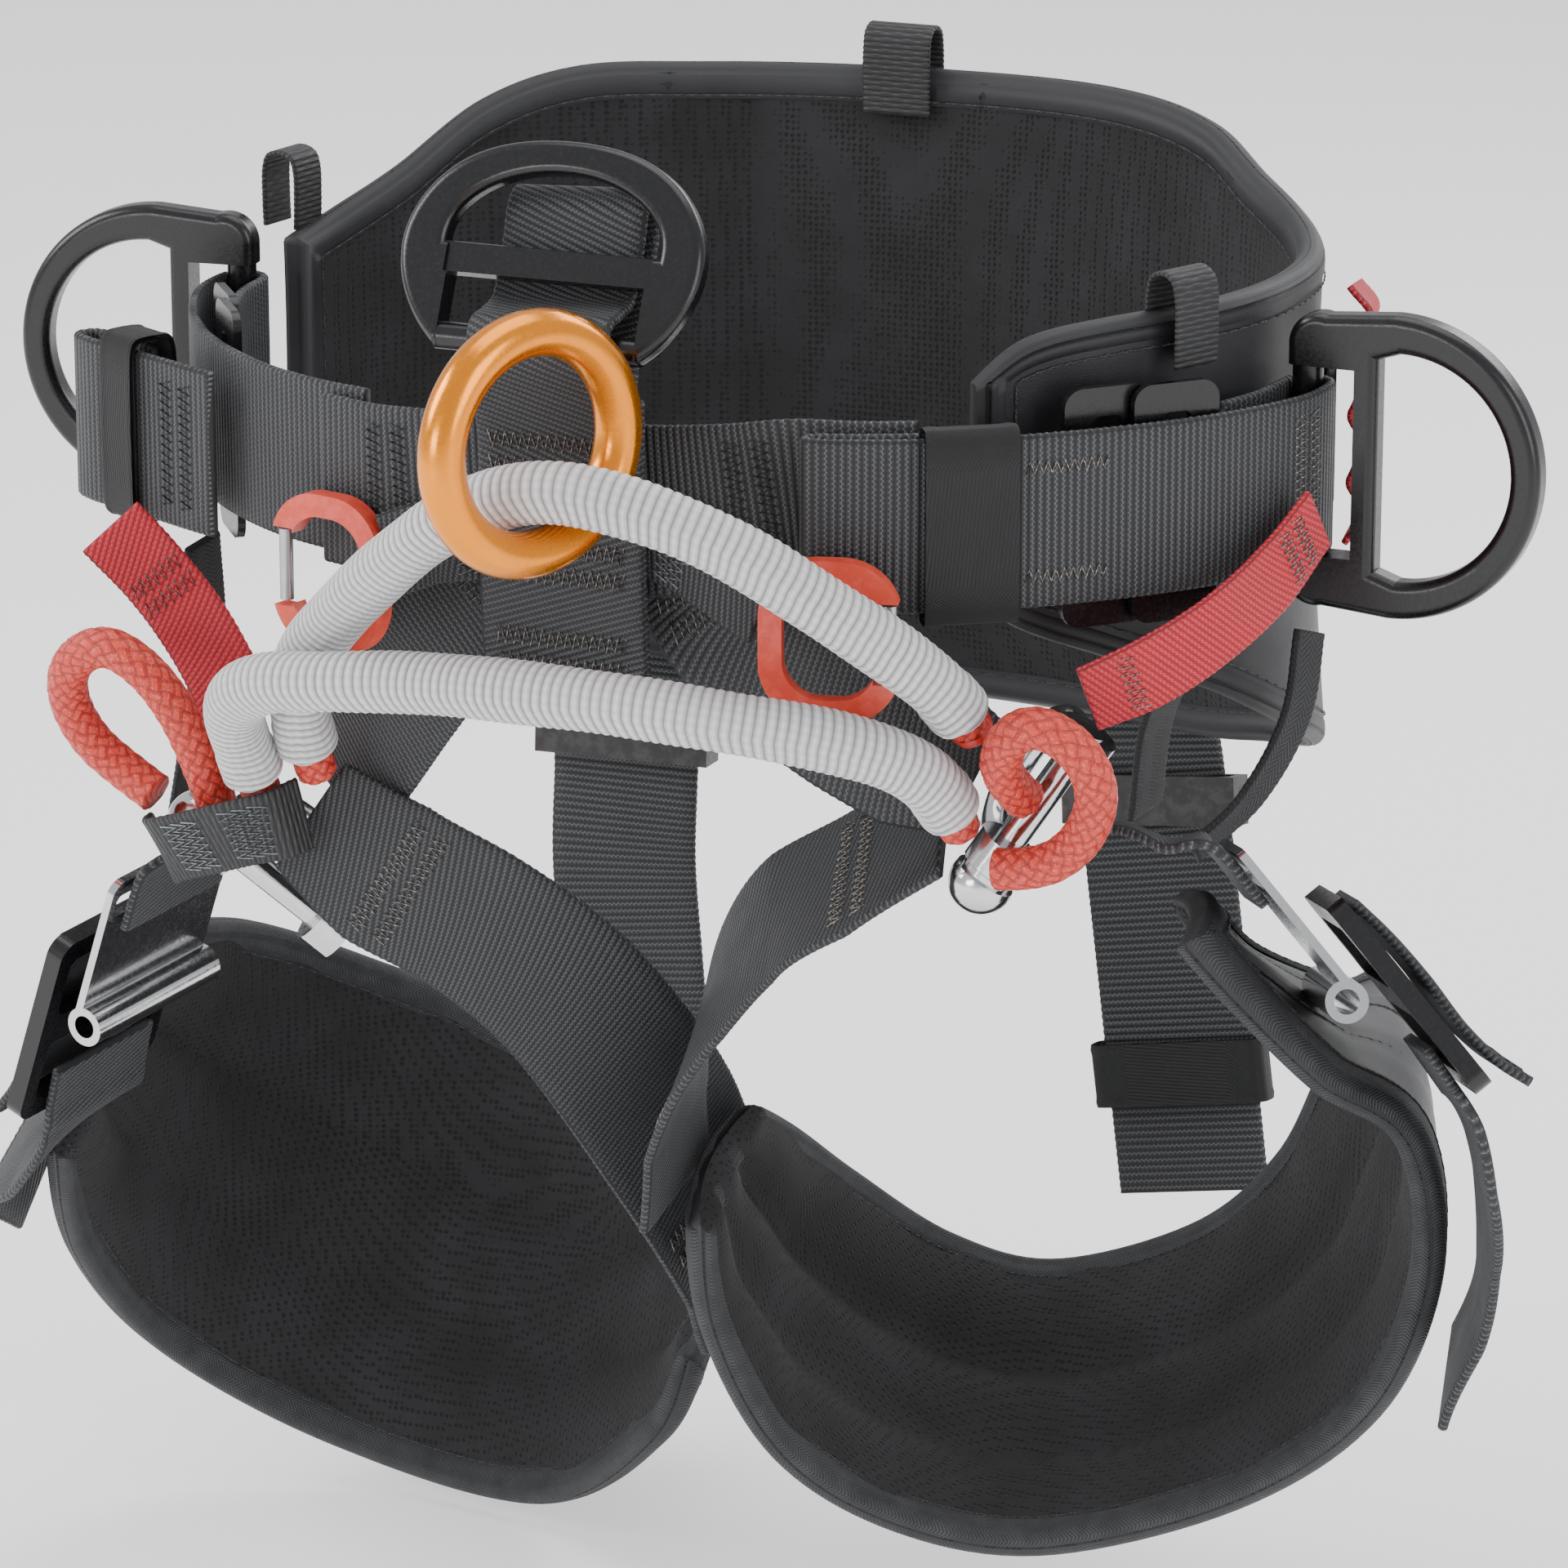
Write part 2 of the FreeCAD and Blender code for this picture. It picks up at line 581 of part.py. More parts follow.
crotches = {"left": [((-87, -104, -99), (0.65, 0.1, 0.76), 36), ((-66, -102.5, -113), (0.63, 0.1, 0.78)),
                     ((-46, -92, -127), (0.64, 0.1, 0.77)), ((-28, -79, -146), (0.55, 0.1, 0.83)),
                     ((-16, -66, -168), (0.52, 0.15, 0.84)), ((-9, -50, -192), (0.5, 0.4, 0.77)),
                     ((-5, -34, -216), (0.35, 0.8, 0.5)), ((-5, -18, -238), (0.1, 0.95, 0.25)),
                     ((-8, -4, -256), (0, 0.99, 0.1))],
            "right": [((88, -95, -84), (-0.6, 0.77, 0.2), 36), ((62, -93, -100), (-0.63, 0.77, 0.14)),
                      ((38, -89, -117), (-0.6, 0.78, 0.1)), ((22, -84, -138), (-0.5, 0.86, 0)),
                      ((11, -79, -160), (-0.3, 0.95, -0.1)), ((4, -73, -182), (-0.1, 0.99, -0.1)),
                      ((1.5, -68, -204), (0, 0.99, 0.1))]}
rears = {"left": [(waist_point(122, pad_thickness + 3.4, -72), (0.9, 0.43, 0)),
                  (spot(-84, 104.8, -100), (0.93, 0.36, 0)), (spot(-85, 103, -122), (1, 0.1, 0)),
                  (spot(-85, 101.5, -145), (1, 0, 0)), (spot(-84.5, 98.5, -170), (1, 0, -0.05)),
                  (spot(-81, 95.5, -200), (1, 0, -0.1)), (spot(-77, 94, -236), (1, 0, -0.1))],
         "right": [(waist_point(64, pad_thickness + 3.4, -72), (0.94, -0.34, 0)),
                   (spot(70, 110.4, -100), (0.94, -0.3, 0.1)), (spot(73, 108.6, -124), (0.99, -0.1, 0.1)),
                   (spot(78, 103.5, -152), (0.99, 0, 0.12)), (spot(83, 99.5, -180), (0.99, 0, 0.14)),
                   (spot(88, 96, -210), (0.98, 0, 0.16)), (spot(94, 92, -246), (0.97, 0, 0.2))]}
for side in ("left", "right"):
    save("riser_web_" + side, strap(risers[side], web_width, web_thickness))
    save("crotch_web_" + side, strap(crotches[side], web_width, web_thickness))
    save("rear_web_" + side, ribbon(rears[side], web_width, web_thickness))


def on_strap(name, place, across, down, height, room):
    """A loop round a strap, at a place on it."""
    along = unit(down)
    face = unit(across).cross(along)
    loop = box_loop(web_width + 2 * room, height, web_thickness + 2 * room, slider_wall)
    save(name, placed(loop, frame_placement(place, across, face)))


on_strap("rear_slider_left", spot(-85, 102.3, -133), (1, 0.05, 0), (0, -0.065, -1),
         slider_height, slider_clearance)
on_strap("rear_slider_right", spot(75.1, 106.6, -136), (0.985, -0.06, 0.11), (0.172, -0.18, -1),
         slider_height, slider_clearance)
on_strap("rear_keeper_right", spot(88.4, 95.6, -212), (0.98, 0, 0.16), (0.17, -0.115, -1),
         rear_keeper_height, slider_clearance)

# ---- D-rings, bridge ring and links ----
for side, place, turn in (("left", left_post, side_dring_left_turn),
                          ("right", right_post, side_dring_right_turn)):
    out = (math.cos(math.radians(turn)), math.sin(math.radians(turn)), 0)
    face = (math.sin(math.radians(turn)), -math.cos(math.radians(turn)), 0)
    save("side_dring_" + side, placed(side_dring(), frame_placement(place, out, face)))
lean = math.radians(front_dring_lean)
save("front_dring", placed(front_dring(), frame_placement(
    spot(*front_dring_place), (1, 0, 0), (0, -math.cos(lean), math.sin(lean)))))
ring_turn = math.radians(bridge_ring_turn)
save("bridge_ring", Part.makeTorus(bridge_ring_middle_radius, bridge_ring_section_radius,
                                   spot(*bridge_ring_centre),
                                   V(math.cos(ring_turn), math.sin(ring_turn), 0)))
links = {"left": (spot(*link_left_place), link_left_along, link_left_reach),
         "right": (spot(*link_right_place), link_right_along, link_right_reach)}
for side, (place, along, reach) in links.items():
    save("link_bolt_" + side, link_bolt(place, along))
    save("link_bow_" + side, link_bow(place, along, reach))

# ---- ropes and sleeves ----
for name, route in (("lower", lower_bridge_route), ("upper", upper_bridge_route)):
    points = [spot(*p) for p in route]
    radii = corner_radii(points)
    save("bridge_rope_" + name, tube("bridge_rope_" + name, points, radii, rope_radius))
    save("bridge_sleeve_" + name, sleeve("bridge_sleeve_" + name, points, radii, 0.5, 0.5))
for side, route in (("left", left_eye_route), ("right", right_eye_route)):
    points = [spot(*p) for p in route]
    save("rope_eye_" + side, tube("rope_eye_" + side, points, corner_radii(points), rope_radius))

# ---- buckles ----
belt_buckles = {"left": ((-135.5, -62.5, -4), (-0.61, 0.79, 0), (-0.79, -0.61, 0)),
                "right": ((137, -77, 0), (-0.69, -0.72, 0), (0.72, -0.69, 0))}
for side, (centre, along, outward) in belt_buckles.items():
    for name, slide, depth in (("plate", -8.0, 4.9), ("frame", 10.0, 8.0)):
        place = spot(*centre) + unit(along) * slide - unit(outward) * depth
        save("belt_buckle_%s_%s" % (name, side), placed(belt_plate(), frame_placement(place, along, outward)))
belt_keepers = {"right": ((99.5, -109.4, 0), (-0.83, -0.55, 0))}
for side, (centre, along) in belt_keepers.items():
    band = box_loop(web_width + 2 * keeper_clearance, 24, web_thickness + 2 * keeper_clearance,
                    keeper_thickness)
    place = frame_placement(spot(*centre), UP, vec(along).cross(V(0, 0, 1)))
    save("belt_keeper_" + side, placed(band, place))

leg_buckles = {"left": {"centre": (-142.7, -86.3, -140.6), "across": (0.21, 0.97, 0.08),
                        "outward": (-0.914, 0.167, 0.37),
                        "web": [(-123, -92, -112, 18)],
                        "pad": [(-189, -69, -214), (-201, -58, -221), (-209, -44, -228),
                                (-210, -27, -238)], "pad_across": (0.17, 0.72, 0.67)},
               "right": {"centre": (176, -82.2, -101.5), "across": (-0.4, 0.88, -0.24),
                         "outward": (0.645, 0.458, 0.603),
                         "web": [(124, -89, -81, 24), (135, -88, -82, 28), (146, -88, -84, 34)],
                         "pad": [(224, -71, -161), (223, -56, -186), (219, -46, -212),
                                (209, -38, -238)], "pad_across": (-0.35, 0.9, -0.2)}}
for side, buckle in leg_buckles.items():
    centre = spot(*buckle["centre"])
    across = buckle["across"]
    outward = unit(buckle["outward"])
    plate_place = frame_placement(centre, across, outward)
    down = plate_place.Rotation.multVec(V(0, 1, 0))
    if down.z > 0:
        down = down * -1
        plate_place = frame_placement(centre, vec(across) * -1, outward)
    plate_place = plate_place.multiply(FreeCAD.Placement(V(0, 0, 0), FreeCAD.Rotation(V(0, 0, 1), 180)))
    save("leg_buckle_plate_" + side, placed(leg_plate(), plate_place))
    frame_centre = centre + down * leg_frame_drop + outward * leg_frame_offset
    frame_place = frame_placement(frame_centre, across, outward)
    save("leg_buckle_frame_" + side, placed(leg_frame(), frame_place))
    under = outward * (plate_thickness / 2 + web_thickness / 2 + 2 * layer_gap)
    route = [(spot(*p[:3]), across, p[3]) for p in buckle["web"]]
    route += [(centre - down * 27 - under * 1.3, across), (centre - down * 8 - under, across)]
    save("leg_web_" + side, ribbon(route, web_width - 3, web_thickness))
    over = outward * (leg_frame_thickness / 2 + web_thickness / 2 + layer_gap)
    tail = [(-26, 0), (-14, 1.5), (0, 2), (16, 1.5), (28, 3), (37, 6)]
    save("leg_tail_" + side, ribbon([(frame_centre + down * s + over + outward * lift, across)
                                     for s, lift in tail], web_width - 3, web_thickness))
    start = frame_centre + down * 14 - over * 1.1
    save("leg_pad_strap_" + side,
         ribbon([(start, across), (start + down * 12 - outward * 0.8, across),
                 (start + down * 20 - outward * 1.6, across)] +
                [(spot(*p), buckle["pad_across"]) for p in buckle["pad"]], web_width - 3, web_thickness))
    print("leg buckle", side, "down", down, "frame centre", frame_centre)

# ---- gear clips and their tapes ----
clips = {"left": ((-73, -117.8, -28), (0.97, -0.243, 0)), "right": ((70, -129, -28), (-0.97, -0.24, 0))}
for side, (centre, along) in clips.items():
    place = frame_placement(spot(*centre), along, vec(along).cross(V(0, 0, 1)))
    save("gear_clip_" + side, placed(clip_body(), place))
    save("clip_gate_" + side, placed(clip_gate(), place))

# ---- red webbing, elastics and trim ----
save("red_web_right", strap([((169, -42, -8), (0, 0.1, -1)), ((163, -60, -20), (0.1, 0.1, -1)),
                             ((154, -80, -30), (0.1, 0.2, -1)), ((142, -95, -38), (0.2, 0.3, -1)),
                             ((129, -103, -44), (0.3, 0.5, -0.8))], red_web_width, red_web_thickness))
save("red_tab_left", strap([((-147, -98, -28), (0.3, 0.2, 0.9)), ((-137, -94, -40), (0.5, 0.2, 0.8)),
                            ((-127, -93, -52), (0.6, 0.3, 0.7)), ((-118, -93, -66), (0.8, 0.3, 0.5)),
                            ((-112, -93, -80), (0.9, 0.3, 0.2))], red_web_width, red_web_thickness))
daisy = [(156.5, 38), (162, 31), (157, 22), (162.5, 13), (157, 4), (162.5, -5), (157, -14), (162, -22),
         (156.5, -30)]
save("gear_daisy_right", strap([((x, 24, z), (-0.2, 0.98, 0)) for x, z in daisy], 15.0,
                               red_web_thickness))
save("side_elastic_left", strap([((-138, -62, -40), (0.35, 0.93, 0)), ((-145, -46, -74), (0.35, 0.93, 0)),
                                 ((-156, -34, -108), (0.35, 0.93, 0)), ((-164, -30, -140), (0.35, 0.93, 0))],
                                elastic_width, elastic_thickness))
save("side_elastic_right", strap([((162, -25, -43), (0.35, 0.93, 0)), ((161, -32, -64), (0.35, 0.93, 0)),
                                  ((153, -44, -84), (0.35, 0.93, 0)), ((142, -56, -96), (0.35, 0.93, 0))],
                                 elastic_width, elastic_thickness))
tape_across = (-0.3, -0.3, 0.9)
tape_path = [(-126, -112, -110), (-123, -119, -108.5), (-112, -122.5, -104.5), (-99, -123.5, -100),
             (-89, -119.5, -97.5), (-85, -112, -96)]
save("rope_tape_left", strap([(p, tape_across) for p in tape_path], tape_width, tape_thickness))
gear_tapes = {"left": [(-24, -121, -12), (-34, -121.7, -14), (-44, -122.1, -16), (-53.5, -122.2, -20)],
              "right": [(18.5, -122, -8), (30, -123.5, -12), (42, -125.4, -18), (51, -127, -22)]}
for side, points in gear_tapes.items():
    save("gear_tape_" + side, strap([(p, (-0.1, 0, 0.99)) for p in points], gear_tape_width,
                                    tape_thickness))
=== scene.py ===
import bisect
import math

import bpy
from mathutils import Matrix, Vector


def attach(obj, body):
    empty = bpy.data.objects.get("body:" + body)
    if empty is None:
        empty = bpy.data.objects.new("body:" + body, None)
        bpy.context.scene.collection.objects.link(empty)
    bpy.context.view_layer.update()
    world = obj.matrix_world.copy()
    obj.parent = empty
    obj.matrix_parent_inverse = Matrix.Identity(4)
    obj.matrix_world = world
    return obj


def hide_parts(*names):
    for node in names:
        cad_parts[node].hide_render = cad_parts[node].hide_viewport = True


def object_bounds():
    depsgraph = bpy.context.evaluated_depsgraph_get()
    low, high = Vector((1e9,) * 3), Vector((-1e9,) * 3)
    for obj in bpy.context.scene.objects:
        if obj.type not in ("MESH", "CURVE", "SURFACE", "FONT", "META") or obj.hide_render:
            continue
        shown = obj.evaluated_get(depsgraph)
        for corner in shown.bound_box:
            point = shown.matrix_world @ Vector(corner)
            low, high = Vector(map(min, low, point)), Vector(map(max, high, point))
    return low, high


# Tree climbing saddle. Places are in millimetres, Z is up and the wearer faces -Y. MM turns them into metres.
MM = 0.001
UP = (0, 0, 1)

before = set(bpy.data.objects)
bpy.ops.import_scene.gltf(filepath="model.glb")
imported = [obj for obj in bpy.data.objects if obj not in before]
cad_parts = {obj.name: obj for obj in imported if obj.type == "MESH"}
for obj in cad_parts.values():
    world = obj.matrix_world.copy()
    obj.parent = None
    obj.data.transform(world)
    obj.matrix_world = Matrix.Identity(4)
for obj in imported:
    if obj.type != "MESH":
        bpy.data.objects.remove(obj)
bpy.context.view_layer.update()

# ---- sizes of the soft goods ----
WEB_WIDTH = 45.0
LEG_WEB_WIDTH = WEB_WIDTH - 3
RING_LOOP_WIDTH = WEB_WIDTH - 6
WEB_THICKNESS = 2.6
DOUBLED_THICKNESS = 5.0
RED_WIDTH = 20.0
TAPE_THICKNESS = 1.8
ELASTIC_WIDTH = 12.0
WAIST_HALF_WIDTH = 143.0
WAIST_HALF_DEPTH = 105.0
PAD_THICKNESS = 8.0
PAD_FLARE = 5.0
LEG_PAD_THICKNESS = 9.0
LEG_PAD_BULGE = 5.0
ROPE_RADIUS = 5.5
SLEEVE_RADIUS = 8.0
SLEEVE_WRAP = 50.3
SLEEVE_SEAM_AT = 28.0
SLEEVE_RING_PITCH = 2.6
SLEEVE_SEAM_SLOPE = 0.25
SLEEVE_SEAM_REACH = 7.0
# a cloth map holds 1 unit for each 100 mm
MAP_LENGTH = 100.0
SELVEDGE_RIPPLE = 0.12
SELVEDGE_SHARE = 0.42
CHANNEL_DEPTH = 2.0
CHANNEL_HALF_WIDTH = 2.6
STUFFING_RISE = 2.4
PIN_REACH = 7
SEWN_IN = 0.5
CORD_STEP = 0.6
SLEEVE_STEP = 0.5
TACK_LIFT = 0.12


# ---- shader groups ----
def new_group(name, inputs, outputs):
    """A shader group with named sockets, and its first and last node."""
    group = bpy.data.node_groups.new(name, "ShaderNodeTree")
    for socket, kind, value in inputs:
        made = group.interface.new_socket(name=socket, in_out="INPUT", socket_type=kind)
        if value is not None:
            made.default_value = value
    for socket, kind in outputs:
        group.interface.new_socket(name=socket, in_out="OUTPUT", socket_type=kind)
    return group, group.nodes.new("NodeGroupInput"), group.nodes.new("NodeGroupOutput")


def maths(tree, operation, a, b=None, c=None):
    """A Math node; each input is a socket or a number."""
    node = tree.nodes.new("ShaderNodeMath")
    node.operation = operation
    for i, value in enumerate((a, b, c)):
        if value is None:
            continue
        if isinstance(value, (int, float)):
            node.inputs[i].default_value = value
        else:
            tree.links.new(value, node.inputs[i])
    return node.outputs[0]


def blend_colour(tree, share, a, b, mode="MIX"):
    node = tree.nodes.new("ShaderNodeMix")
    node.data_type = "RGBA"
    node.blend_type = mode
    for socket, value in ((0, share), (6, a), (7, b)):
        if isinstance(value, (int, float)):
            node.inputs[socket].default_value = value
        elif isinstance(value, (tuple, list)):
            node.inputs[socket].default_value = tuple(value) + (1.0,) if len(value) == 3 else value
        else:
            tree.links.new(value, node.inputs[socket])
    return node.outputs[2]


def noise(tree, scale, detail=3.0, vector=None, roughness=0.6):
    node = tree.nodes.new("ShaderNodeTexNoise")
    node.inputs["Scale"].default_value = scale
    node.inputs["Detail"].default_value = detail
    node.inputs["Roughness"].default_value = roughness
    if vector is not None:
        tree.links.new(vector, node.inputs["Vector"])
    return node.outputs["Fac"]


def ramp(tree, value, low, high):
    """Value spread from 0 at low to 1 at high."""
    node = tree.nodes.new("ShaderNodeMapRange")
    node.inputs["From Min"].default_value = low
    node.inputs["From Max"].default_value = high
    tree.links.new(value, node.inputs["Value"])
    return node.outputs["Result"]


def triangle(tree, value):
    """A triangle wave from 0 to 1, one wave for each unit of value."""
    share = maths(tree, "FRACT", value)
    return maths(tree, "ABSOLUTE", maths(tree, "SUBTRACT", maths(tree, "MULTIPLY", share, 2.0), 1.0))


def ribbed_weave_group():
    """Ribs across a web with floats between them. Across and Along are in millimetres."""
    tree, start, end = new_group(
        "ribbed_weave",
        [("Across", "NodeSocketFloat", 0.0), ("Along", "NodeSocketFloat", 0.0),
         ("Rib Pitch", "NodeSocketFloat", 1.7), ("Yarn Pitch", "NodeSocketFloat", 1.1),
         ("Slant", "NodeSocketFloat", 0.35)],
        [("Height", "NodeSocketFloat"), ("Highlight", "NodeSocketFloat")])
    slanted = maths(tree, "MULTIPLY_ADD", start.outputs["Across"], start.outputs["Slant"],
                    start.outputs["Along"])
    rib = triangle(tree, maths(tree, "DIVIDE", slanted, start.outputs["Rib Pitch"]))
    row = maths(tree, "FLOOR", maths(tree, "DIVIDE", slanted, start.outputs["Rib Pitch"]))
    shift = maths(tree, "MULTIPLY", row, 0.5)
    yarn = triangle(tree, maths(tree, "ADD", maths(tree, "DIVIDE", start.outputs["Across"],
                                                   start.outputs["Yarn Pitch"]), shift))
    round_rib = maths(tree, "POWER", rib, 0.6)
    height = maths(tree, "MULTIPLY", round_rib, maths(tree, "MULTIPLY_ADD", yarn, 0.45, 0.55))
    # Highlight is a painted highlight on the yarn crowns where they top a rib
    glint = maths(tree, "MULTIPLY", maths(tree, "POWER", rib, 3.0), maths(tree, "POWER", yarn, 2.0))
    tree.links.new(height, end.inputs["Height"])
    tree.links.new(glint, end.inputs["Highlight"])
    return tree


def herringbone_group():
    """A broken twill that turns back on itself in stripes along the tape."""
    tree, start, end = new_group(
        "herringbone",
        [("Across", "NodeSocketFloat", 0.0), ("Along", "NodeSocketFloat", 0.0),
         ("Stripe", "NodeSocketFloat", 4.0), ("Pitch", "NodeSocketFloat", 1.3)],
        [("Height", "NodeSocketFloat")])
    stripe = triangle(tree, maths(tree, "DIVIDE", start.outputs["Across"], start.outputs["Stripe"]))
    slope = maths(tree, "MULTIPLY", stripe, maths(tree, "MULTIPLY", start.outputs["Stripe"], 0.5))
    line = triangle(tree, maths(tree, "DIVIDE", maths(tree, "ADD", start.outputs["Along"], slope),
                                start.outputs["Pitch"]))
    tree.links.new(maths(tree, "POWER", line, 0.7), end.inputs["Height"])
    return tree


def spacer_mesh_group():
    """The small open cells of a knitted spacer fabric."""
    tree, start, end = new_group(
        "spacer_mesh",
        [("Vector", "NodeSocketVector", None), ("Cell Scale", "NodeSocketFloat", 620.0)],
        [("Height", "NodeSocketFloat"), ("Hole", "NodeSocketFloat")])
    cells = tree.nodes.new("ShaderNodeTexVoronoi")
    cells.inputs["Randomness"].default_value = 0.25
    tree.links.new(start.outputs["Vector"], cells.inputs["Vector"])
    tree.links.new(start.outputs["Cell Scale"], cells.inputs["Scale"])
    hole = ramp(tree, cells.outputs["Distance"], 0.42, 0.18)
    tree.links.new(maths(tree, "SUBTRACT", 1.0, hole), end.inputs["Height"])
    tree.links.new(hole, end.inputs["Hole"])
    return tree


def braid_group():
    """Strands that cross over and under round a rope. Turn is 0 to 1 round it, Along in millimetres."""
    tree, start, end = new_group(
        "braid",
        [("Turn", "NodeSocketFloat", 0.0), ("Along", "NodeSocketFloat", 0.0),
         ("Strands", "NodeSocketFloat", 8.0), ("Lay", "NodeSocketFloat", 4.2)],
        [("Height", "NodeSocketFloat")])
    around = maths(tree, "MULTIPLY", start.outputs["Turn"], start.outputs["Strands"])
    along = maths(tree, "DIVIDE", start.outputs["Along"], start.outputs["Lay"])
    one = maths(tree, "ADD", around, along)
    other = maths(tree, "SUBTRACT", around, along)
    cell = maths(tree, "ADD", maths(tree, "FLOOR", one), maths(tree, "FLOOR", other))
    over = maths(tree, "FRACT", maths(tree, "MULTIPLY", cell, 0.5))
    over = maths(tree, "GREATER_THAN", over, 0.25)
    first = maths(tree, "SUBTRACT", 1.0, triangle(tree, one))
    second = maths(tree, "SUBTRACT", 1.0, triangle(tree, other))
    crown = maths(tree, "ADD", maths(tree, "MULTIPLY", first, over),
                  maths(tree, "MULTIPLY", second, maths(tree, "SUBTRACT", 1.0, over)))
    yarn_a = triangle(tree, maths(tree, "MULTIPLY", one, 3.0))
    yarn_b = triangle(tree, maths(tree, "MULTIPLY", other, 3.0))
    yarn = maths(tree, "ADD", maths(tree, "MULTIPLY", yarn_a, over),
                 maths(tree, "MULTIPLY", yarn_b, maths(tree, "SUBTRACT", 1.0, over)))
    height = maths(tree, "MULTIPLY_ADD", yarn, 0.25, maths(tree, "POWER", crown, 0.5))
    tree.links.new(height, end.inputs["Height"])
    return tree


def worn_edge_group():
    """Where an edge or a scuff shows the metal or a lighter colour."""
    tree, start, end = new_group(
        "worn_edge",
        [("Vector", "NodeSocketVector", None), ("Amount", "NodeSocketFloat", 0.5)],
        [("Wear", "NodeSocketFloat"), ("Scuff", "NodeSocketFloat")])
    geometry = tree.nodes.new("ShaderNodeNewGeometry")
    edge = ramp(tree, geometry.outputs["Pointiness"], 0.53, 0.60)
    spots = ramp(tree, noise(tree, 240.0, 4.0, start.outputs["Vector"]), 0.45, 0.62)
    wear = maths(tree, "MULTIPLY", maths(tree, "MULTIPLY", edge, spots), start.outputs["Amount"])
    scuff = ramp(tree, noise(tree, 900.0, 2.0, start.outputs["Vector"], 0.8), 0.4, 0.8)
    tree.links.new(wear, end.inputs["Wear"])
    tree.links.new(scuff, end.inputs["Scuff"])
    return tree


GROUPS = {"ribbed_weave": ribbed_weave_group(), "herringbone": herringbone_group(),
          "spacer_mesh": spacer_mesh_group(), "braid": braid_group(), "worn_edge": worn_edge_group()}


# ---- materials ----
def new_material(name, roughness, metallic=0.0):
    material = bpy.data.materials.new(name)
    material.use_nodes = True
    tree = material.node_tree
    shader = tree.nodes["Principled BSDF"]
    shader.inputs["Roughness"].default_value = roughness
    shader.inputs["Metallic"].default_value = metallic
    return material, tree, shader


def add_group(tree, name, **values):
    node = tree.nodes.new("ShaderNodeGroup")
    node.node_tree = GROUPS[name]
    for socket, value in values.items():
        node.inputs[socket.replace("_", " ")].default_value = value
    return node


def cloth_axes(tree):
    """The across and along distances of a strap, in millimetres, from its own map."""
    node = tree.nodes.new("ShaderNodeUVMap")
    node.uv_map = "cloth"
    split = tree.nodes.new("ShaderNodeSeparateXYZ")
    tree.links.new(node.outputs["UV"], split.inputs[0])
    across = maths(tree, "MULTIPLY", split.outputs["X"], MAP_LENGTH)
    along = maths(tree, "MULTIPLY", split.outputs["Y"], MAP_LENGTH)
    return across, along


def place_of(tree):
    return tree.nodes.new("ShaderNodeTexCoord").outputs["Object"]


def add_bump(tree, shader, height, distance):
    bump = tree.nodes.new("ShaderNodeBump")
    bump.inputs["Distance"].default_value = distance * MM
    tree.links.new(height, bump.inputs["Height"])
    tree.links.new(bump.outputs["Normal"], shader.inputs["Normal"])


def webbing(name, dark, light, glint=(0.5, 0.5, 0.52), rib=1.7, yarn=1.1, slant=0.35, depth=0.35,
            roughness=0.62, shine=0.6):
    """Woven webbing with slanted ribs, painted shade in the hollows of the weave and a painted highlight on
    the yarn crowns.
    """
    material, tree, shader = new_material(name, roughness)
    across, along = cloth_axes(tree)
    weave = add_group(tree, "ribbed_weave", Rib_Pitch=rib, Yarn_Pitch=yarn, Slant=slant)
    tree.links.new(across, weave.inputs["Across"])
    tree.links.new(along, weave.inputs["Along"])
    uneven = ramp(tree, noise(tree, 90.0, 4.0, place_of(tree)), 0.3, 0.75)
    # painted shade: the colour runs from dark in the weave's hollows to light on its ribs
    base = blend_colour(tree, weave.outputs["Height"], dark, light)
    base = blend_colour(tree, maths(tree, "MULTIPLY", uneven, 0.35), base, light)
    # painted highlight: the glint colour laid over the yarn crowns
    share = maths(tree, "MULTIPLY", weave.outputs["Highlight"], shine)
    tree.links.new(blend_colour(tree, share, base, glint), shader.inputs["Base Color"])
    shader.inputs["Sheen Weight"].default_value = 0.03
    shader.inputs["Sheen Roughness"].default_value = 0.4
    tree.links.new(maths(tree, "MULTIPLY_ADD", uneven, 0.15, roughness - 0.08), shader.inputs["Roughness"])
    add_bump(tree, shader, weave.outputs["Height"], depth)
    return material


def herringbone_tape(name, dark, light, stripe=5.0, pitch=1.4):
    material, tree, shader = new_material(name, 0.7)
    across, along = cloth_axes(tree)
    weave = add_group(tree, "herringbone", Stripe=stripe, Pitch=pitch)
    tree.links.new(across, weave.inputs["Across"])
    tree.links.new(along, weave.inputs["Along"])
    uneven = noise(tree, 120.0, 3.0, place_of(tree))
    # painted shade and highlight: darker in the twill's grooves, lighter on its raised lines, spotted at
    # random
    base = blend_colour(tree, maths(tree, "MULTIPLY", weave.outputs["Height"], uneven), dark, light)
    tree.links.new(base, shader.inputs["Base Color"])
    shader.inputs["Sheen Weight"].default_value = 0.03
    add_bump(tree, shader, weave.outputs["Height"], 0.25)
    return material


def spacer_fabric(name, dark, light):
    """The airy inner face of a pad, with painted shade in its open cells."""
    material, tree, shader = new_material(name, 0.85)
    place = place_of(tree)
    cells = add_group(tree, "spacer_mesh", Cell_Scale=560.0)
    tree.links.new(place, cells.inputs["Vector"])
    uneven = ramp(tree, noise(tree, 35.0, 4.0, place), 0.3, 0.7)
    base = blend_colour(tree, uneven, dark, light)
    # painted shade: the open cells are coloured near-black
    shaded_holes = blend_colour(tree, cells.outputs["Hole"], base, (0.002, 0.002, 0.0025))
    tree.links.new(shaded_holes, shader.inputs["Base Color"])
    shader.inputs["Sheen Weight"].default_value = 0.04
    shader.inputs["Sheen Roughness"].default_value = 0.5
    add_bump(tree, shader, cells.outputs["Height"], 0.4)
    return material


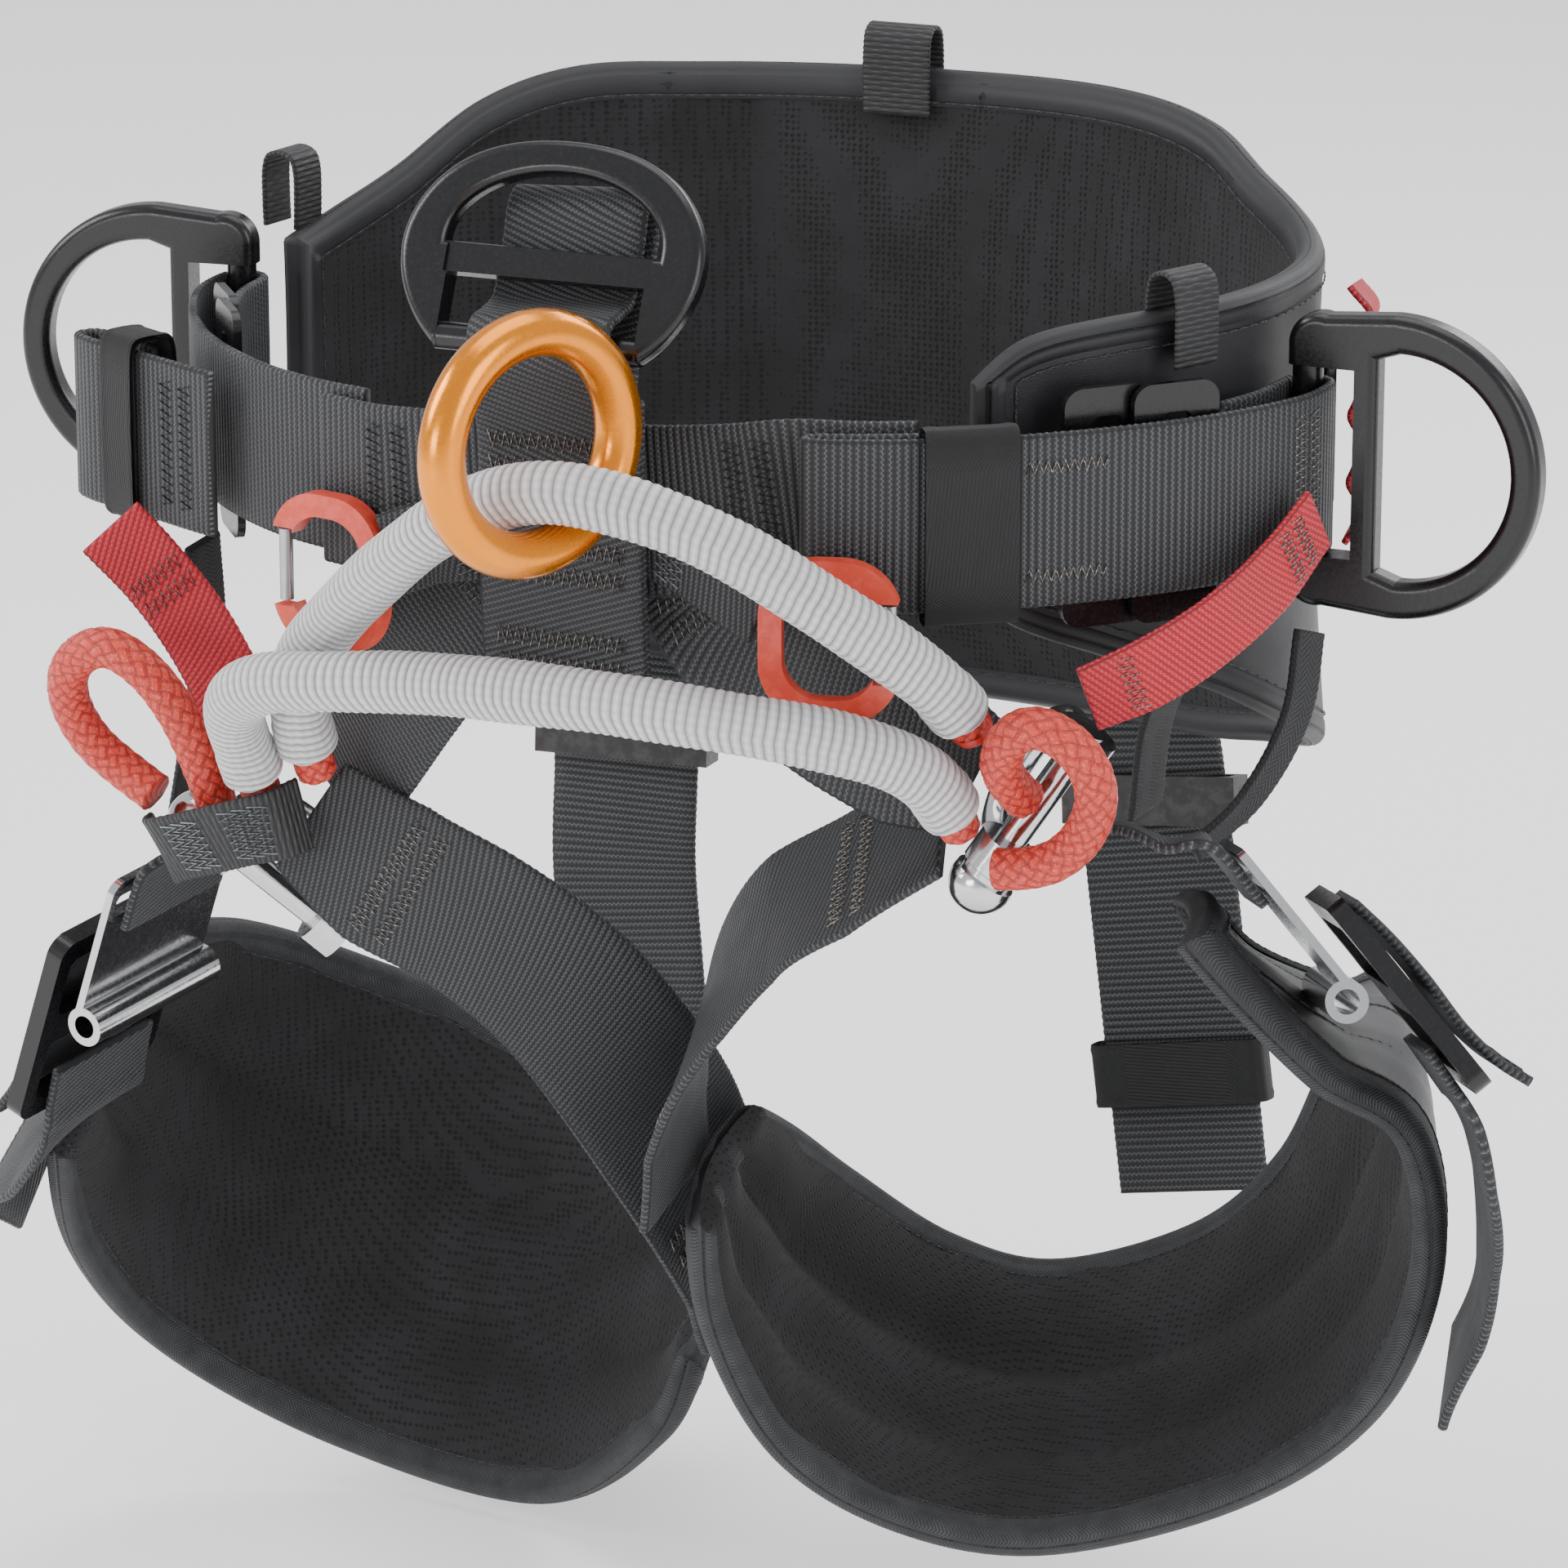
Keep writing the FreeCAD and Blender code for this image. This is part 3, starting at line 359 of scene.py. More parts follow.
def laminate(name, dark, light, roughness=0.55):
    """The smooth outer fabric and edge band of a pad, with a fine grain."""
    material, tree, shader = new_material(name, roughness)
    place = place_of(tree)
    fine = noise(tree, 2600.0, 2.0, place, 0.7)
    broad = ramp(tree, noise(tree, 30.0, 4.0, place), 0.3, 0.72)
    tree.links.new(blend_colour(tree, broad, dark, light), shader.inputs["Base Color"])
    tree.links.new(maths(tree, "MULTIPLY_ADD", broad, 0.16, roughness - 0.08), shader.inputs["Roughness"])
    shader.inputs["Sheen Weight"].default_value = 0.03
    add_bump(tree, shader, fine, 0.12)
    return material


def tack_thread(name, dark, light):
    """Close zigzag stitching, coloured dark between the thread lines and light on them: painted shade."""
    material, tree, shader = new_material(name, 0.6)
    across, along = cloth_axes(tree)
    zigzag = triangle(tree, maths(tree, "DIVIDE", along, 2.4))
    line = triangle(tree, maths(tree, "MULTIPLY_ADD", zigzag, 0.8, maths(tree, "DIVIDE", across, 1.5)))
    # painted shade: dark between the thread lines, light along them
    base = blend_colour(tree, line, dark, light)
    tree.links.new(base, shader.inputs["Base Color"])
    shader.inputs["Sheen Weight"].default_value = 0.03
    add_bump(tree, shader, line, 0.35)
    return material


def braided(name, dark, light, strands=8.0, lay=4.6):
    material, tree, shader = new_material(name, 0.5)
    across, along = cloth_axes(tree)
    pattern = add_group(tree, "braid", Strands=strands, Lay=lay)
    tree.links.new(maths(tree, "DIVIDE", across, MAP_LENGTH), pattern.inputs["Turn"])
    tree.links.new(along, pattern.inputs["Along"])
    # painted shade: darker where the strands dip under each other, lighter on their crowns
    base = blend_colour(tree, ramp(tree, pattern.outputs["Height"], 0.25, 0.95), dark, light)
    # painted highlight: paler red glints on the strand crowns, at random spots
    glint_spots = ramp(tree, noise(tree, 1500.0, 2.0, place_of(tree)), 0.5, 0.75)
    glint = maths(tree, "MULTIPLY", maths(tree, "MULTIPLY", glint_spots, 0.6), pattern.outputs["Height"])
    tree.links.new(blend_colour(tree, glint, base, (0.90, 0.26, 0.18)), shader.inputs["Base Color"])
    shader.inputs["Sheen Weight"].default_value = 0.03
    add_bump(tree, shader, pattern.outputs["Height"], 0.5)
    return material


def sleeve_cloth(name):
    """Pale tubular webbing with close rings and a chevron line along one side, with painted shade in the
    grooves between the rings.
    """
    material, tree, shader = new_material(name, 0.5)
    across, along = cloth_axes(tree)
    near_seam = maths(tree, "ABSOLUTE", maths(tree, "SUBTRACT", across, SLEEVE_SEAM_AT))
    bent = maths(tree, "MULTIPLY_ADD", maths(tree, "MINIMUM", near_seam, SLEEVE_SEAM_REACH),
                 SLEEVE_SEAM_SLOPE, along)
    ring = triangle(tree, maths(tree, "DIVIDE", bent, SLEEVE_RING_PITCH))
    yarn = triangle(tree, maths(tree, "DIVIDE", across, SLEEVE_RING_PITCH))
    height = maths(tree, "MULTIPLY", maths(tree, "POWER", ring, 0.6),
                   maths(tree, "MULTIPLY_ADD", yarn, 0.2, 0.8))
    uneven = ramp(tree, noise(tree, 60.0, 4.0, place_of(tree)), 0.3, 0.7)
    # painted shade: the grooves between the rings are coloured dark grey, the crowns pale
    base = blend_colour(tree, height, (0.16, 0.155, 0.17), (0.80, 0.79, 0.80))
    grime = maths(tree, "MULTIPLY", maths(tree, "SUBTRACT", 1.0, uneven), 0.18)
    tree.links.new(blend_colour(tree, grime, base, (0.52, 0.51, 0.52)), shader.inputs["Base Color"])
    shader.inputs["Sheen Weight"].default_value = 0.3
    add_bump(tree, shader, height, 0.45)
    return material


def metal(name, colour, roughness, metallic=1.0, worn=(0.6, 0.6, 0.62), wear=0.6, coat=0.0):
    """Bare, painted or anodised metal with scuffs and worn edges."""
    material, tree, shader = new_material(name, roughness, metallic)
    place = place_of(tree)
    edges = add_group(tree, "worn_edge", Amount=wear)
    tree.links.new(place, edges.inputs["Vector"])
    broad = ramp(tree, noise(tree, 45.0, 3.0, place), 0.3, 0.7)
    tone = blend_colour(tree, maths(tree, "MULTIPLY", broad, 0.3), colour, tuple(c * 1.35 for c in colour))
    tree.links.new(blend_colour(tree, edges.outputs["Wear"], tone, worn), shader.inputs["Base Color"])
    rough = maths(tree, "MULTIPLY_ADD", edges.outputs["Scuff"], 0.14, roughness - 0.04)
    tree.links.new(rough, shader.inputs["Roughness"])
    shader.inputs["Coat Weight"].default_value = coat
    shader.inputs["Coat Roughness"].default_value = 0.12
    add_bump(tree, shader, edges.outputs["Scuff"], 0.004)
    return material


def plastic(name, colour, deep, roughness=0.38):
    material, tree, shader = new_material(name, roughness)
    place = place_of(tree)
    edges = add_group(tree, "worn_edge", Amount=0.35)
    tree.links.new(place, edges.inputs["Vector"])
    broad = ramp(tree, noise(tree, 60.0, 3.0, place), 0.3, 0.7)
    tone = blend_colour(tree, broad, colour, deep)
    pale = tuple(min(1.0, c * 1.25 + 0.06) for c in colour)
    tree.links.new(blend_colour(tree, edges.outputs["Wear"], tone, pale), shader.inputs["Base Color"])
    tree.links.new(maths(tree, "MULTIPLY_ADD", edges.outputs["Scuff"], 0.2, roughness - 0.05),
                   shader.inputs["Roughness"])
    shader.inputs["Subsurface Weight"].default_value = 0.05
    add_bump(tree, shader, noise(tree, 1800.0, 2.0, place), 0.03)
    return material


DARK_WEB = webbing("dark_webbing", (0.0025, 0.0026, 0.0032), (0.024, 0.025, 0.029), (0.30, 0.31, 0.33))
BELT_WEB = webbing("belt_webbing", (0.0025, 0.0026, 0.0032), (0.024, 0.025, 0.029), (0.34, 0.35, 0.37),
                   rib=2.0, yarn=1.4, slant=0.0, depth=0.4)
RED_WEB = webbing("red_webbing", (0.26, 0.003, 0.010), (0.62, 0.012, 0.030), (0.90, 0.30, 0.32),
                  rib=1.8, yarn=1.2, slant=0.6, shine=0.5)
BLACK_TAPE = webbing("black_tape", (0.004, 0.004, 0.004), (0.022, 0.022, 0.024), (0.16, 0.16, 0.17),
                     rib=1.5, yarn=6.0, slant=0.0)
ELASTIC = herringbone_tape("dark_elastic", (0.003, 0.003, 0.004), (0.032, 0.033, 0.037), 6.0, 1.6)
KEEPER = herringbone_tape("keeper_elastic", (0.004, 0.004, 0.005), (0.016, 0.016, 0.018), 60.0, 1.0)
BINDING = herringbone_tape("binding_tape", (0.006, 0.006, 0.008), (0.085, 0.088, 0.096), 4.4, 1.1)
SPACER = spacer_fabric("spacer_fabric", (0.0075, 0.0073, 0.0082), (0.019, 0.0185, 0.021))
BAND = laminate("edge_band", (0.010, 0.010, 0.012), (0.021, 0.021, 0.024))
OUTER = laminate("outer_laminate", (0.008, 0.008, 0.010), (0.018, 0.018, 0.021), 0.5)
GREY_TACK = tack_thread("grey_tack_thread", (0.11, 0.098, 0.088), (0.62, 0.57, 0.52))
DARK_TACK = tack_thread("dark_tack_thread", (0.012, 0.012, 0.013), (0.085, 0.085, 0.09))
PALE_TACK = tack_thread("pale_tack_thread", (0.22, 0.25, 0.28), (0.50, 0.54, 0.57))
ROPE = braided("red_rope", (0.26, 0.006, 0.004), (0.66, 0.040, 0.022))
SLEEVE = sleeve_cloth("pale_sleeve")
STEEL = metal("bright_steel", (0.62, 0.62, 0.63), 0.16, wear=0.2)
GATE_STEEL = metal("gate_steel", (0.42, 0.43, 0.45), 0.32, wear=0.3)
BLACK_ALLOY = metal("black_alloy", (0.004, 0.004, 0.005), 0.28, 0.0, (0.03, 0.03, 0.033), 0.0)
BLACK_PAINT = metal("black_paint", (0.004, 0.004, 0.005), 0.25, 0.0, (0.03, 0.03, 0.033), 0.0)
ORANGE_ALLOY = metal("orange_alloy", (0.86, 0.27, 0.008), 0.24, 0.85, (0.90, 0.50, 0.16), 0.25, 0.25)
CORAL = plastic("coral_plastic", (0.78, 0.075, 0.040), (0.66, 0.055, 0.030))
BLACK_PLASTIC = plastic("black_plastic", (0.015, 0.015, 0.016), (0.022, 0.022, 0.024), 0.5)


# ---- geometry helpers, in millimetres until mesh_piece() makes the mesh ----
def smoothed(stations, spacing):
    """Rows on a smooth curve through stations of place, across direction and size, about spacing apart."""
    rows = [(Vector(s[0]), Vector(s[1]).normalized(), s[2]) for s in stations]
    places = [rows[0][0] * 2 - rows[1][0]] + [row[0] for row in rows] + [rows[-1][0] * 2 - rows[-2][0]]
    result = []
    for i in range(len(rows) - 1):
        a, b, c, d = places[i:i + 4]
        t = [0.0]
        for p, q in ((a, b), (b, c), (c, d)):
            t.append(t[-1] + max((q - p).length, 0.01) ** 0.5)
        steps = max(2, round((c - b).length / spacing))
        for k in range(steps):
            share = k / steps
            s = t[1] + (t[2] - t[1]) * share
            ab = a * ((t[1] - s) / t[1]) + b * (s / t[1])
            bc = b * ((t[2] - s) / (t[2] - t[1])) + c * ((s - t[1]) / (t[2] - t[1]))
            cd = c * ((t[3] - s) / (t[3] - t[2])) + d * ((s - t[2]) / (t[3] - t[2]))
            abc = ab * ((t[2] - s) / t[2]) + bc * (s / t[2])
            bcd = bc * ((t[3] - s) / (t[3] - t[1])) + cd * ((s - t[1]) / (t[3] - t[1]))
            place = abc * ((t[2] - s) / (t[2] - t[1])) + bcd * ((s - t[1]) / (t[2] - t[1]))
            result.append((place, rows[i][1].lerp(rows[i + 1][1], share),
                           rows[i][2] * (1 - share) + rows[i + 1][2] * share))
    return result + [rows[-1]]


def square_to(across, along):
    return (across - along * across.dot(along)).normalized()


def mesh_piece(name, points, faces, corners, materials, body, picks=None):
    """A smooth-shaded mesh piece on a body, with its cloth map and its materials."""
    mesh = bpy.data.meshes.new(name)
    mesh.from_pydata([Vector(p) * MM for p in points], [], faces)
    if corners:
        layer = mesh.uv_layers.new(name="cloth")
        layer.data.foreach_set("uv", [value for corner in corners for value in corner])
    mesh.polygons.foreach_set("use_smooth", [True] * len(mesh.polygons))
    for material in materials:
        mesh.materials.append(material)
    if picks:
        mesh.polygons.foreach_set("material_index", picks)
    mesh.validate()
    piece = bpy.data.objects.new(name, mesh)
    bpy.context.collection.objects.link(piece)
    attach(piece, body)
    return piece


class Sheets:
    """Grids of points gathered into one mesh. Across and along are in millimetres."""

    def __init__(self):
        self.points = []
        self.faces = []
        self.corners = []
        self.picks = []

    def grid(self, rows, across, along, closed=False, caps=False, pick=0):
        start = len(self.points)
        count = len(rows[0])
        for row in rows:
            self.points.extend(row)
        wide = count if closed else count - 1
        for i in range(len(rows) - 1):
            for j in range(wide):
                k = (j + 1) % count
                self.faces.append((start + i * count + j, start + i * count + k,
                                   start + (i + 1) * count + k, start + (i + 1) * count + j))
                for ii, jj in ((i, j), (i, j + 1), (i + 1, j + 1), (i + 1, j)):
                    self.corners.append((across[jj] / MAP_LENGTH, along[ii] / MAP_LENGTH))
                self.picks.append(pick)
        if caps:
            for i, turn in ((0, -1), (len(rows) - 1, 1)):
                ring = [start + i * count + j for j in range(count)][::turn]
                self.faces.append(tuple(ring))
                self.corners.extend([(across[j] / MAP_LENGTH, along[i] / MAP_LENGTH)
                                     for j in range(count)][::turn])
                self.picks.append(pick)

    def piece(self, name, materials, body="root"):
        if not isinstance(materials, (list, tuple)):
            materials = [materials]
        return mesh_piece(name, self.points, self.faces, self.corners, materials, body, self.picks)


class Strap:
    """Webbing along a smooth path, with rounded selvedges, and places on its surface for stitching."""

    def __init__(self, stations, width, thickness, spacing=1.1):
        rows = smoothed([(s[0], s[1], s[2] if len(s) > 2 else width) for s in stations], spacing)
        last = len(rows) - 1
        self.thickness = thickness
        self.rows = []
        self.lengths = []
        run = 0.0
        for i, (place, across, wide) in enumerate(rows):
            along = (rows[min(i + 1, last)][0] - rows[max(i - 1, 0)][0]).normalized()
            side = square_to(across, along)
            if i:
                run += (place - rows[i - 1][0]).length
            self.rows.append((place, side, along.cross(side).normalized(), wide / 2))
            self.lengths.append(run)
        self.length = run

    def at(self, s):
        s = max(0.0, min(self.length, s))
        i = max(0, min(len(self.rows) - 2, bisect.bisect_right(self.lengths, s) - 1))
        share = (s - self.lengths[i]) / max(1e-6, self.lengths[i + 1] - self.lengths[i])
        a, b = self.rows[i], self.rows[i + 1]
        return [a[k].lerp(b[k], share) for k in range(3)] + [a[3] + (b[3] - a[3]) * share]

    def outward(self, s):
        place, side, face, half = self.at(s)
        return 1.0 if face.dot(Vector((place.x, place.y, 0.0))) > 0 else -1.0

    def on(self, s, x, lift, facing):
        place, side, face, half = self.at(s)
        return place + side * x + face * (facing * (self.thickness / 2 + lift))

    def cloth(self, sheets, shift=0.0, thickness=None):
        thick = thickness or self.thickness
        edge = thick * SELVEDGE_SHARE
        rows = []
        for i, (place, side, face, half) in enumerate(self.rows):
            half = half + SELVEDGE_RIPPLE * (1 if i % 2 else -1)
            flat = [-(half - edge) + 2 * (half - edge) * k / 12 for k in range(13)]
            top = [(x, thick / 2 * (1.04 if 0.86 < abs(x) / half < 0.95 else 1.0)) for x in flat]
            loop = top + [(half - edge * 0.3, thick * 0.34), (half, 0.0), (half - edge * 0.3, -thick * 0.34)]
            loop += [(x, -z) for x, z in reversed(top)]
            loop += [(-half + edge * 0.3, -thick * 0.34), (-half, 0.0), (-half + edge * 0.3, thick * 0.34)]
            rows.append([place + side * x + face * (z + shift) for x, z in loop])
        across = [x for x, z in loop]
        across = across[:16] + [30 + value for value in across[16:]] + [across[0] + 60]
        sheets.grid(rows, across, self.lengths, closed=True, caps=True)


def web(node, stations, width, thickness, material, body="root", layers=1, name=None, stiff=1.1):
    """A piece of webbing that stands for its plain solid. Two layers lie on each other."""
    strap = Strap(stations, width, thickness, stiff)
    sheets = Sheets()
    if layers == 1:
        strap.cloth(sheets)
    else:
        each = thickness / layers
        for k in range(layers):
            strap.cloth(sheets, shift=(k - (layers - 1) / 2) * each, thickness=each * 0.94)
    piece = sheets.piece(name or node + "_cloth", material, body)
    if node:
        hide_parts(node)
    strap.body = body
    return strap


def thread(sheets, places, radius=0.32, sides=5):
    """One run of thread as a thin tube through the places."""
    if len(places) < 2:
        return
    last = len(places) - 1
    rows = []
    lengths = [0.0]
    for i, place in enumerate(places):
        along = (places[min(i + 1, last)] - places[max(i - 1, 0)]).normalized()
        side = square_to(Vector((0.31, 0.22, 0.93)) if abs(along.z) < 0.9 else Vector((1, 0, 0)), along)
        face = along.cross(side)
        size = radius * (0.55 if i in (0, last) else 1.0)
        rows.append([place + (side * math.cos(a) + face * math.sin(a)) * size
                     for a in [2 * math.pi * k / sides for k in range(sides)]])
        if i:
            lengths.append(lengths[-1] + (place - places[i - 1]).length)
    sheets.grid(rows, [k * 0.4 for k in range(sides + 1)], lengths, closed=True, caps=True)


def zigzag(sheets, strap, s0, s1, x0, x1, facing, pitch=1.15, radius=0.38, lengthwise=False):
    """A bar tack: close zigzag stitches over a patch of the strap."""
    if lengthwise:
        count = max(4, int(abs(s1 - s0) / pitch))
        places = [strap.on(s0 + (s1 - s0) * k / count, x0 if k % 2 else x1, TACK_LIFT, facing)
                  for k in range(count + 1)]
    else:
        count = max(4, int(abs(x1 - x0) / pitch))
        places = [strap.on(s0 if k % 2 else s1, x0 + (x1 - x0) * k / count, TACK_LIFT, facing)
                  for k in range(count + 1)]
    thread(sheets, places, radius, 4)


def running(sheets, spots, stitch=2.6, gap=1.0, radius=0.3):
    """A line of separate stitches along a dense row of places."""
    run = 0.0
    current = [spots[0]]
    for a, b in zip(spots, spots[1:]):
        run += (b - a).length
        current.append(b)
        if run >= stitch:
            thread(sheets, [current[0], current[len(current) // 2], current[-1]], radius, 5)
            current = []
            run = -gap
        if run < 0:
            current = [b]


# ---- the camera ----
CAMERA_TARGET = (0.0054, 0.0, -0.1094)
CAMERA_AZIMUTH = 22.0
CAMERA_ELEVATION = 17.0
CAMERA_DISTANCE = 2.0
CAMERA_LENS = 169.0


def make_camera():
    camera = bpy.data.objects.new("camera", bpy.data.cameras.new("camera"))
    bpy.context.collection.objects.link(camera)
    camera.data.lens = CAMERA_LENS
    camera.data.sensor_width = 36.0
    azimuth, elevation = math.radians(CAMERA_AZIMUTH), math.radians(CAMERA_ELEVATION)
    target = Vector(CAMERA_TARGET)
    back = Vector((math.sin(azimuth) * math.cos(elevation), -math.cos(azimuth) * math.cos(elevation),
                   math.sin(elevation)))
    camera.location = target + back * CAMERA_DISTANCE
    camera.rotation_euler = (-back).to_track_quat("-Z", "Y").to_euler()
    bpy.context.scene.camera = camera


make_camera()


# ---- ropes ----
def smooth_line(points):
    """The points of a smooth cord whose control points are given, in millimetres."""
    data = bpy.data.curves.new("line", "CURVE")
    data.dimensions = "3D"
    data.resolution_u = 28
    spline = data.splines.new("NURBS")
    spline.points.add(len(points) - 1)
    for place, point in zip(points, spline.points):
        point.co = (place[0] * MM, place[1] * MM, place[2] * MM, 1.0)
    spline.order_u = 3
    spline.use_endpoint_u = True
    curve = bpy.data.objects.new("line", data)
    bpy.context.collection.objects.link(curve)
    mesh = bpy.data.meshes.new_from_object(curve)
    line = [v.co / MM for v in mesh.vertices]
    bpy.data.objects.remove(curve)
    return line


def even_line(line, spacing):
    """The same line with its points evenly spaced."""
    lengths = [0.0]
    for a, b in zip(line, line[1:]):
        lengths.append(lengths[-1] + (b - a).length)
    count = max(8, round(lengths[-1] / spacing))
    result = []
    i = 0
    for k in range(count + 1):
        s = lengths[-1] * k / count
        while i < len(line) - 2 and lengths[i + 1] < s:
            i += 1
        share = (s - lengths[i]) / max(1e-9, lengths[i + 1] - lengths[i])
        result.append(line[i].lerp(line[i + 1], min(1.0, share)))
    return result, lengths[-1]


def frames_along(places):
    """A side and a face direction at each place, which turn as little as they can."""
    last = len(places) - 1
    side = None
    result = []
    for i in range(last + 1):
        along = (places[min(i + 1, last)] - places[max(i - 1, 0)]).normalized()
        side = square_to(side if side else Vector((0.1, 0.2, 1.0)), along)
        result.append((side, along.cross(side)))
    return result


def round_cloth(sheets, places, radius_at, around, wrap):
    """A tube whose radius at each place and turn is radius_at(length, turn)."""
    lengths = [0.0]
    for a, b in zip(places, places[1:]):
        lengths.append(lengths[-1] + (b - a).length)
    rows = []
    for place, s, (side, face) in zip(places, lengths, frames_along(places)):
        row = []
        for k in range(around):
            turn = k / around
            angle = 2 * math.pi * turn
            row.append(place + (side * math.cos(angle) + face * math.sin(angle)) * radius_at(s, turn))
        rows.append(row)
    sheets.grid(rows, [wrap * k / around for k in range(around + 1)], lengths, closed=True, caps=True)


def braid_radius(s, turn, radius=ROPE_RADIUS, strands=8.0, lay=4.6):
    one = turn * strands + s / lay
    other = turn * strands - s / lay
    over = (math.floor(one) + math.floor(other)) % 2
    share = (one if over else other) % 1.0
    crown = 1 - abs(2 * share - 1)
    return radius * (0.93 + 0.07 * crown ** 0.5)


def rope(node, points, sleeve_node=None):
    """A braided rope, with a pale sleeve over all but its ends where it has one."""
    line = smooth_line(points)
    places, length = even_line(line, CORD_STEP)
    sheets = Sheets()
    round_cloth(sheets, places, braid_radius, 48, MAP_LENGTH)
    piece = sheets.piece(node + "_braid", ROPE)
    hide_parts(node)
    if sleeve_node:
        first = (Vector(points[1]) - Vector(points[0])).length / 2
        last = (Vector(points[-1]) - Vector(points[-2])).length / 2
        inner, total = even_line(line, SLEEVE_STEP)
        step = total / (len(inner) - 1)
        covered = inner[int(first / step):len(inner) - int(last / step)]
        long = step * (len(covered) - 1)

        def sleeve_radius(s, turn):
            hem = 0.35 if s < 9 or s > long - 9 else 0.0
            near = abs(turn * SLEEVE_WRAP - SLEEVE_SEAM_AT)
            bent = s + SLEEVE_SEAM_SLOPE * min(near, SLEEVE_SEAM_REACH)
            ring = abs(2 * ((bent / SLEEVE_RING_PITCH) % 1.0) - 1)
            seam = 0.22 if near < 2.2 else 0.0
            crease = 0.25 * math.sin(s * 0.11) * math.sin(turn * 12.6 + s * 0.05)
            mouth = -0.9 if s < 0.8 or s > long - 0.8 else 0.0
            return SLEEVE_RADIUS - 0.45 + 0.42 * ring ** 0.6 + hem + seam + crease + mouth

        cover = Sheets()
        round_cloth(cover, covered, sleeve_radius, 48, SLEEVE_WRAP)
        sleeve = cover.piece(sleeve_node + "_cloth", SLEEVE)
        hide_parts(sleeve_node)
    return places


LOWER_ROUTE = [(-97, -112, -92), (-97.5, -122, -76), (-94, -136.5, -60), (-80, -147, -50),
               (-57, -153, -46), (-32, -154, -43), (-3, -159, -41), (27, -160, -41), (54, -155, -44),
               (76, -144, -49), (90, -130, -57), (96, -117, -68), (97, -108, -80)]
UPPER_ROUTE = [(-83, -108, -85), (-83, -119, -68), (-78, -128, -50), (-61, -139, -32), (-41, -152, -14),
               (-18, -163, 4), (7, -168, 15), (32, -166, 12), (56, -159, 2), (76, -148, -14),
               (91, -134, -29), (99.5, -122, -41.5), (102, -113, -52)]
LEFT_EYE_ROUTE = [(-109, -113, -98), (-112, -117, -84), (-116, -122, -69), (-123.5, -125.5, -57),
                  (-135, -126, -51), (-147, -123, -58), (-151, -118, -70), (-146, -115, -82),
                  (-137, -112.5, -90), (-127.5, -113.5, -95)]
RIGHT_EYE_ROUTE = [(115, -109, -70), (111, -118, -62), (115, -124.5, -50), (124, -127, -44),
                   (135, -125, -50), (139, -120, -63), (133, -116, -77), (122, -116, -86),
                   (110, -115.5, -87)]
rope("bridge_rope_lower", LOWER_ROUTE, "bridge_sleeve_lower")
upper_line = rope("bridge_rope_upper", UPPER_ROUTE, "bridge_sleeve_upper")
rope("rope_eye_left", LEFT_EYE_ROUTE)
rope("rope_eye_right", RIGHT_EYE_ROUTE)


# ---- belt webbing ----
def waist_point(angle, offset, height):
    a = math.radians(angle)
    out = offset + PAD_FLARE * (height / 100.0) ** 2
    return Vector(((WAIST_HALF_WIDTH + out) * math.cos(a), (WAIST_HALF_DEPTH + out) * math.sin(a), height))


def arc_plan(centre, radius, start, end, steps):
    angles = [math.radians(start + (end - start) * k / steps) for k in range(steps + 1)]
    return [(centre[0] + radius * math.cos(a), centre[1] + radius * math.sin(a)) for a in angles]


def on_edge(plan, height):
    return [((x, y, height), UP) for x, y in plan]


belt_back = web("belt_web_back", [(waist_point(angle, 11.2, 0.0), UP) for angle in range(12, 169, 12)],
                WEB_WIDTH, WEB_THICKNESS, BELT_WEB)
right_plan = [(145.5, -50), (150.5, -36)] + arc_plan((158.5, -20), 5.9, 180, 0, 6)
right_plan += [(163.8, -32), (158.5, -46), (149, -62), (137, -77), (124, -90), (111, -101), (98, -110),
               (84, -117.5), (72, -122.3), (65, -124.6), (61.5, -124.4), (60.4, -121.9), (63, -119.8),
               (72, -116.6), (86, -110)]
belt_right = web("belt_web_right", on_edge(right_plan, 0), WEB_WIDTH, WEB_THICKNESS, BELT_WEB)
left_plan = [(-139.5, -38), (-145.5, -20)] + arc_plan((-153, -4), 5.9, 0, 180, 6)
left_plan += [(-158.2, -18), (-152, -36), (-142, -54), (-129, -71), (-113, -86), (-98, -96.5),
              (-82, -104), (-66, -108.5)]
belt_left = web("belt_web_left", on_edge(left_plan, -3), WEB_WIDTH, WEB_THICKNESS, BELT_WEB)
tail_plan = [(-119, -92.5), (-128, -88.5), (-140, -82.5), (-156, -75), (-167, -69.5), (-172, -64.5),
             (-169.5, -60.5), (-163, -62), (-153, -67.5), (-146, -71.5)]
belt_tail = web("belt_tail_left", on_edge(tail_plan, -7), WEB_WIDTH, WEB_THICKNESS, BELT_WEB)
yoke = web("yoke_web", [((-78, -109.5, -5), UP), ((-60, -115.2, -5), UP), ((-40, -118, -4), UP),
                        ((-18, -118.3, -3), UP), ((4, -118.3, -3), UP), ((24, -118, -2), UP),
                        ((42, -117, 0), UP), ((56, -115, 2), UP), ((70, -111.8, 2), UP),
                        ((84, -105.6, 2), UP)], WEB_WIDTH, WEB_THICKNESS, BELT_WEB)

